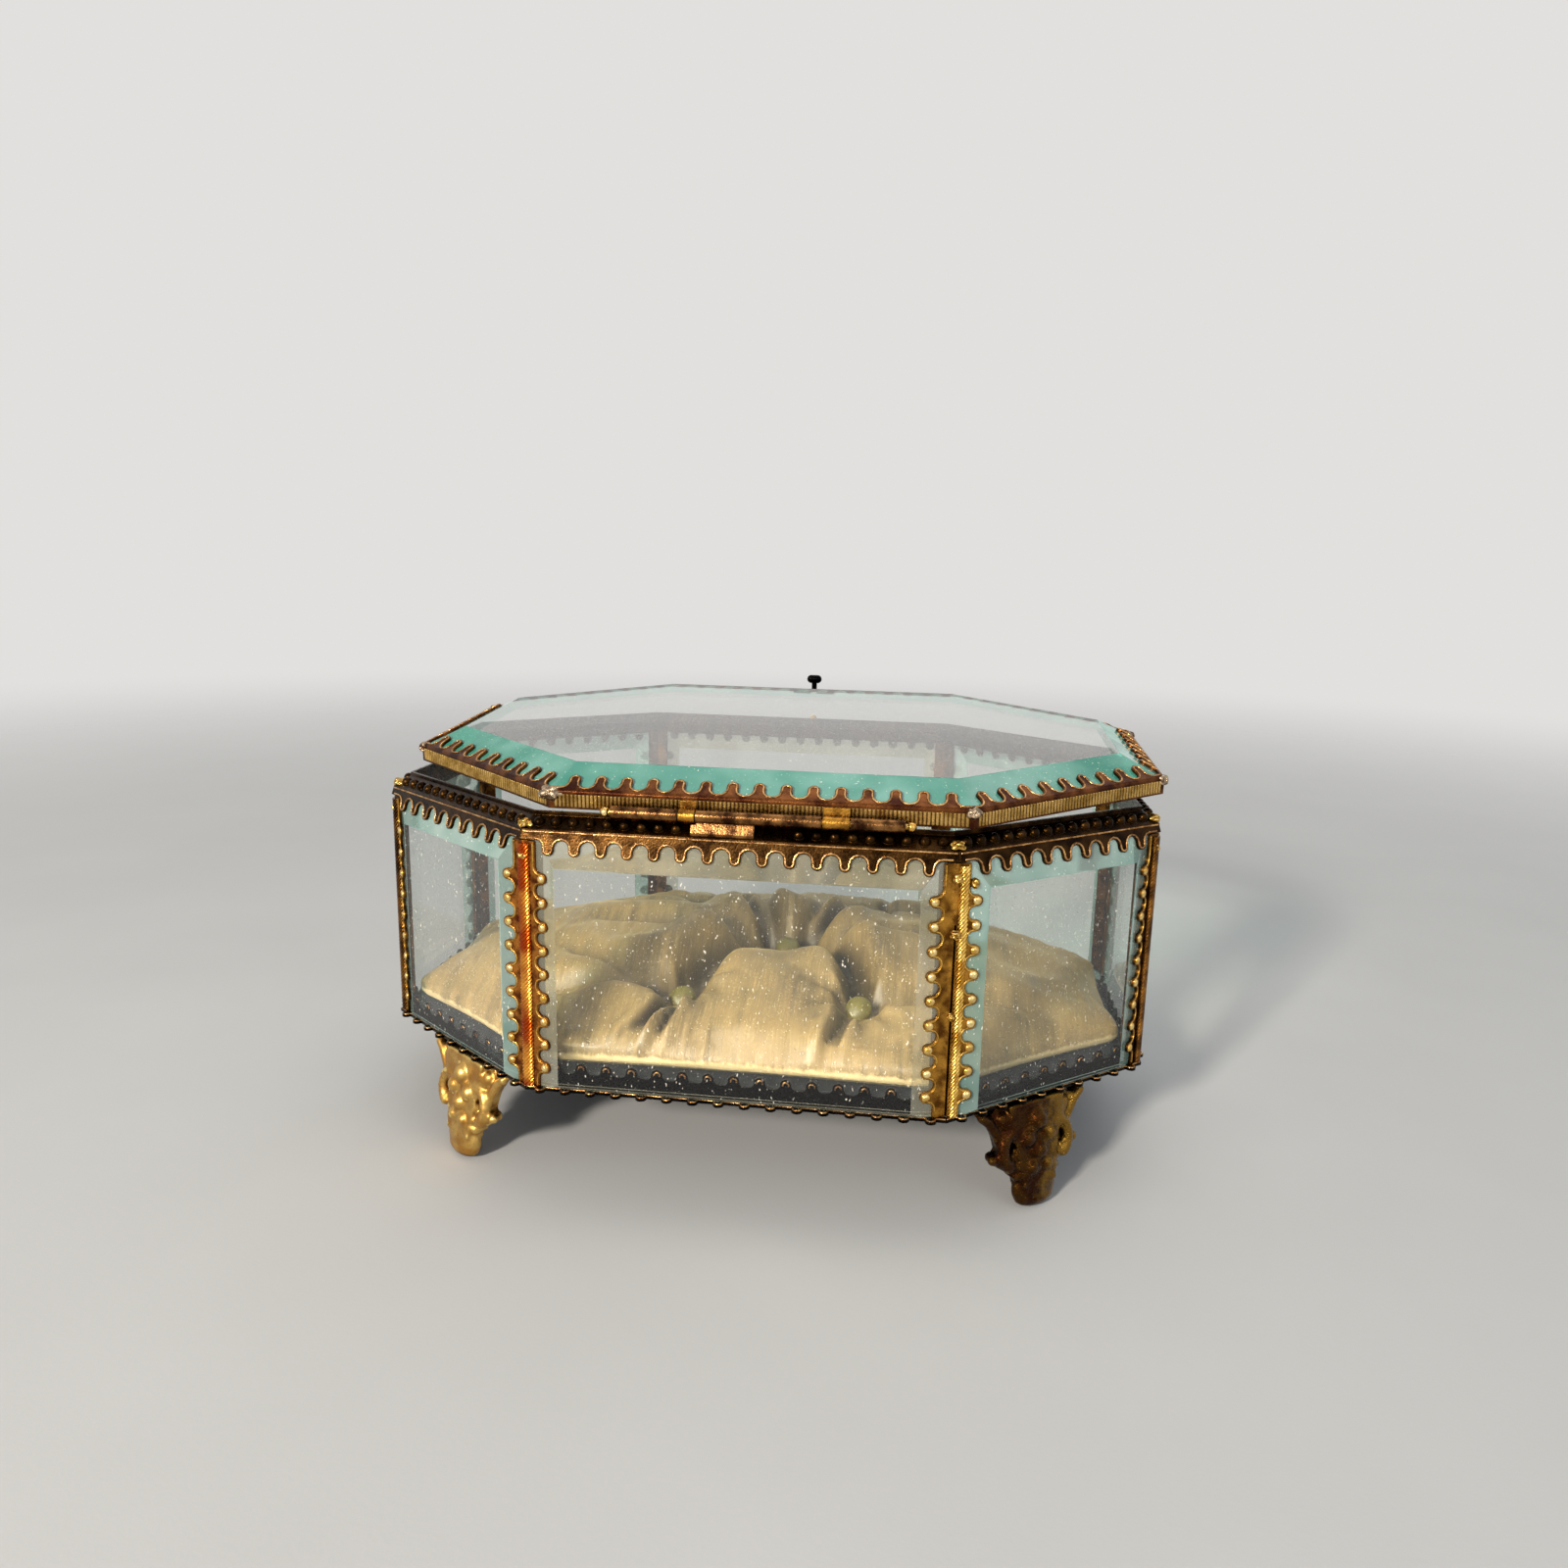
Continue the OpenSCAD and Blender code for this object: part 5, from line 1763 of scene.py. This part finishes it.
    def crease(self, pad: bpy.types.Object) -> None:
        """Press the folds and the gathers into the top of the pad.

        Args:
            pad: The pad, in metres.
        """
        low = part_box("silk_pad")[0][2] / MM
        presses, tufts = self.folds() + self.lobes(), self.tufts()
        for vertex in pad.data.vertices:
            x, y, z = vertex.co / MM
            top = max(0.0, min(1.0, (z - low - self.crown_from) / self.crown_rise))
            place = Vector((x, y))
            lift = sum(press.lift(place) for press in presses)
            # Small pleats run out from each button
            for number, tuft in enumerate(tufts):
                away = place - tuft
                turn = math.atan2(away.y, away.x)
                small = math.cos(self.pleats * turn + self.pleat_turn * number)
                broad = self.broad_share * math.cos(self.broad_pleats * turn + number)
                ring = math.exp(-((away.length - self.pleat_ring) / self.pleat_fade) ** 2)
                lift += self.pleat * (small + broad) * ring
            lift += self.rumple * noise.noise(Vector((x, y, 0.0)) / self.rumple_size)
            fine = Vector((x, self.crinkle_long * y, 3.0)) / self.crinkle_size
            lift -= self.crinkle * abs(noise.noise(fine))
            reach = min((place - tuft).length for tuft in tufts)
            free = max(0.0, min(1.0, (reach - self.button_r) / self.sewn_ring))
            pulled = z + (lift * free - self.sewn_drop * (1 - free)) * top
            vertex.co.z = max(pulled, min(z, low + self.deepest)) * MM
            # The roll is gathered along the long sides
            if abs(y) > self.gather_from:
                sway = self.gather_sway * math.sin(self.gather_drift * x)
                gather = self.gather * math.sin(self.gather_rate * x + sway) * (1 - top)
                vertex.co.y += math.copysign(gather, y) * MM

    def build(self, finishes: Finishes) -> None:
        """Make the pad and its buttons.

        Args:
            finishes: The casket's finishes.
        """
        pad = merged_copy("silk_pad", "tufted_pad")
        modified(pad, "REMESH", mode="VOXEL", voxel_size=self.voxel * MM)
        modified(pad, "DISPLACE", strength=-self.shrink * MM, mid_level=0.0)
        self.stuff(pad)
        modified(pad, "SUBSURF", levels=1, render_levels=1)
        self.crease(pad)
        dress(pad, finishes.silk, Body.CASE, ("silk_pad",))
        self.buttons(pad, finishes)

    def buttons(self, pad: bpy.types.Object, finishes: Finishes) -> None:
        """Model a covered button once and sew it on at each tuft.

        Args:
            pad: The pad that they are sewn to.
            finishes: The casket's finishes.
        """
        bpy.ops.object.select_all(action="DESELECT")
        bpy.ops.mesh.primitive_uv_sphere_add(segments=36, ring_count=18, radius=self.button_r)
        button = newest("button")
        for vertex in button.data.vertices:
            turn = math.atan2(vertex.co.y, vertex.co.x)
            across = math.hypot(vertex.co.x, vertex.co.y) / self.button_r
            over = vertex.co.z > 0
            deep = self.top_pleat if over else self.button_pleat
            pleat = deep * math.cos(self.button_pleats * turn) * across
            vertex.co.z = vertex.co.z * (self.dome if over else self.underside) - pleat
        sewn = []
        for tuft in self.tufts():
            under = max(
                v.co.z / MM for v in pad.data.vertices
                if (v.co.to_2d() / MM - tuft).length < self.seat_r)
            # The near buttons are pulled over the front of the pad, so they sit lower and lean
            out, up, lean = self.near_seat if tuft.y < -1 else self.far_seat
            seat = Matrix.Translation((tuft.x, tuft.y - out, under + up))
            sewn.append(placed(button, seat @ Matrix.Rotation(math.radians(lean), 4, "X")))
        discard(button)
        piece = in_metres(joined(sewn, "covered_buttons"))
        dress(piece, finishes.button, Body.CASE, ("tuft_buttons",))


# ---------------------------------------------------------------- carried-over nodes


class FrameNodes:
    """The solids that keep their shape and take a finish."""

    def build(self, finishes: Finishes) -> None:
        """Give each node its material.

        Args:
            finishes: The casket's finishes.
        """
        plain = {
            "bottom_sheet": finishes.dark, "lining_card": finishes.card,
            "hinge_leaf": finishes.bronze, "hinge_pin": finishes.gilt,
            "keeper_stud": finishes.gilt, "lid_knuckles": finishes.post,
            "catch_plate": finishes.bronze, "thumb_piece": finishes.dark,
        }
        for name in SIDE_NAMES:
            plain[f"rim_{name}"] = finishes.rim
            plain[f"sill_{name}"] = finishes.dark
            plain[f"lid_strip_{name}"] = finishes.lid
        # The copper and open-seam posts keep their finish, and the rest take painted shade
        strips = {0: finishes.copper_strip, 1: finishes.post}
        for corner, name in enumerate(POST_NAMES):
            plain[f"post_{name}"] = strips.get(corner, finishes.post_shaded)
        for name, finish in plain.items():
            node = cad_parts[name]
            node.data.materials.clear()
            node.data.materials.append(finish)
            LOG.info("%s: %s", name, finish.name)


# ---------------------------------------------------------------- studio


@dataclass(frozen=True)
class Lamp:
    """A soft square lamp: its place and side in metres, its power in watts, its colour."""

    name: str
    at: tuple[float, float, float]
    side: float
    power: float
    tint: str

    def hang(self, aim: tuple[float, float, float]) -> None:
        """Hang the lamp and point it.

        Args:
            aim: What it points at, in metres.
        """
        data = bpy.data.lights.new(self.name, "AREA")
        data.size, data.energy, data.color = self.side, self.power, linear(self.tint)[:3]
        lamp = bpy.data.objects.new(self.name, data)
        bpy.context.scene.collection.objects.link(lamp)
        lamp.location = self.at
        beam = Vector(aim) - Vector(self.at)
        lamp.rotation_euler = beam.to_track_quat("-Z", "Y").to_euler()


@dataclass
class Studio:
    """A pale floor, soft lamps, a pale world and the camera."""

    # The camera: lens, film and clipping, its place in millimetres and its angles in degrees
    lens: float = 25.875
    sensor: float = 36.0
    clip: tuple[float, float] = (0.005, 10.0)
    eye: tuple[float, float, float] = (28.2, -216.7, 108.1)
    turn: float = 6.94
    down: float = 11.42
    roll: float = 1.28
    # The floor, in metres
    floor_r: float = 1.6
    fade_from: float = 0.2
    fade_to: float = 0.9
    seen_strength: float = 1.0
    lit_strength: float = 0.45
    aim: tuple[float, float, float] = (0.0, 0.0, 0.04)
    lamps: tuple[Lamp, ...] = (
        Lamp("key", (-0.42, -0.88, 0.45), 0.12, 11.6, "#fff6ea"),
        Lamp("fill", (0.5, -0.6, 0.5), 0.6, 1.1, "#eef3ff"),
        Lamp("top", (0.1, 0.25, 0.8), 0.6, 1.3, "#ffffff"),
    )

    def floor(self) -> None:
        """Make a round pale floor that fades into the world."""
        bpy.ops.object.select_all(action="DESELECT")
        bpy.ops.mesh.primitive_circle_add(vertices=96, radius=self.floor_r, fill_type="NGON")
        ground = newest("floor")
        # Board with a flat coat of paint: matt, a little cloudy and finely grained
        f = Finish("Pale painted board")
        coat = f.add(
            "TexNoise", GRAINED | {"Scale": per_mm(60.0), "Detail": 3.0},
            {"Vector": f.place})
        tone = f.add("Mix", COLOURS | {FIRST: "#c0c0be", SECOND: "#c9c9c7"}, {SHARE: coat})
        grain = f.add(
            "TexNoise", GRAINED | {"Scale": per_mm(0.8), "Detail": 4.0},
            {"Vector": f.place})
        rough = f.add("Bump", {"Strength": 0.4, "Distance": 0.05 * MM}, {"Height": grain})
        board = f.add(
            "BsdfPrincipled", {"Roughness": 0.9}, {"Base Color": tone, "Normal": rough})
        away = f.add("VectorMath", {"operation": "LENGTH"}, {0: f.place})
        fade = f.add(
            "MapRange", SMOOTH | {"From Min": self.fade_from, "From Max": self.fade_to},
            {"Value": away})
        clear = f.add("BsdfTransparent")
        ground.data.materials.append(
            f.close(f.add("MixShader", links={0: fade, 1: board, 2: clear})))

    def world(self) -> None:
        """Set a pale even world."""
        world = bpy.data.worlds.new("Pale studio")
        bpy.context.scene.world = world
        world.use_nodes = True
        tree = world.node_tree
        tree.nodes.clear()
        path = add_node(tree, "LightPath")
        seen = path.outputs["Is Camera Ray"]
        for ray in ("Is Glossy Ray", "Is Transmission Ray"):
            seen = add_node(
                tree, "Math", {"operation": "MAXIMUM"}, {0: seen, 1: path.outputs[ray]})
        shown = add_node(
            tree, "Background", {"Color": "#e2e0de", "Strength": self.seen_strength})
        lit = add_node(
            tree, "Background", {"Color": "#e8ecf0", "Strength": self.lit_strength})
        mix = add_node(tree, "MixShader", links={0: seen, 1: lit, 2: shown})
        add_node(tree, "OutputWorld", links={"Surface": mix})

    def camera(self) -> None:
        """Set the camera where the picture is taken from."""
        data = bpy.data.cameras.new("camera")
        data.lens, data.sensor_width = self.lens, self.sensor
        data.clip_start, data.clip_end = self.clip
        camera = bpy.data.objects.new("camera", data)
        bpy.context.scene.collection.objects.link(camera)
        camera.matrix_world = (
            Matrix.Translation(Vector(self.eye) * MM)
            @ Matrix.Rotation(math.radians(self.turn), 4, "Z")
            @ Matrix.Rotation(math.radians(90.0 - self.down), 4, "X")
            @ Matrix.Rotation(math.radians(self.roll), 4, "Z")
        )
        bpy.context.scene.camera = camera

    def build(self) -> None:
        """Make the whole studio."""
        self.camera()
        self.floor()
        for lamp in self.lamps:
            lamp.hang(self.aim)
        self.world()
        bpy.context.scene.view_settings.view_transform = "Standard"


def main() -> None:
    """Dress the casket."""
    logging.basicConfig(level=logging.INFO, format="%(name)s: %(message)s")
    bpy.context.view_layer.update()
    Studio().build()
    finishes = Finishes()
    work = (
        FrameNodes(), GlassWork(), RimWork(), SillWork(), LidWork(), PostWork(), SolderWork(),
        LeafFoot(), SilkPad(),
    )
    for part in work:
        part.build(finishes)


if __name__ == "__main__":
    main()
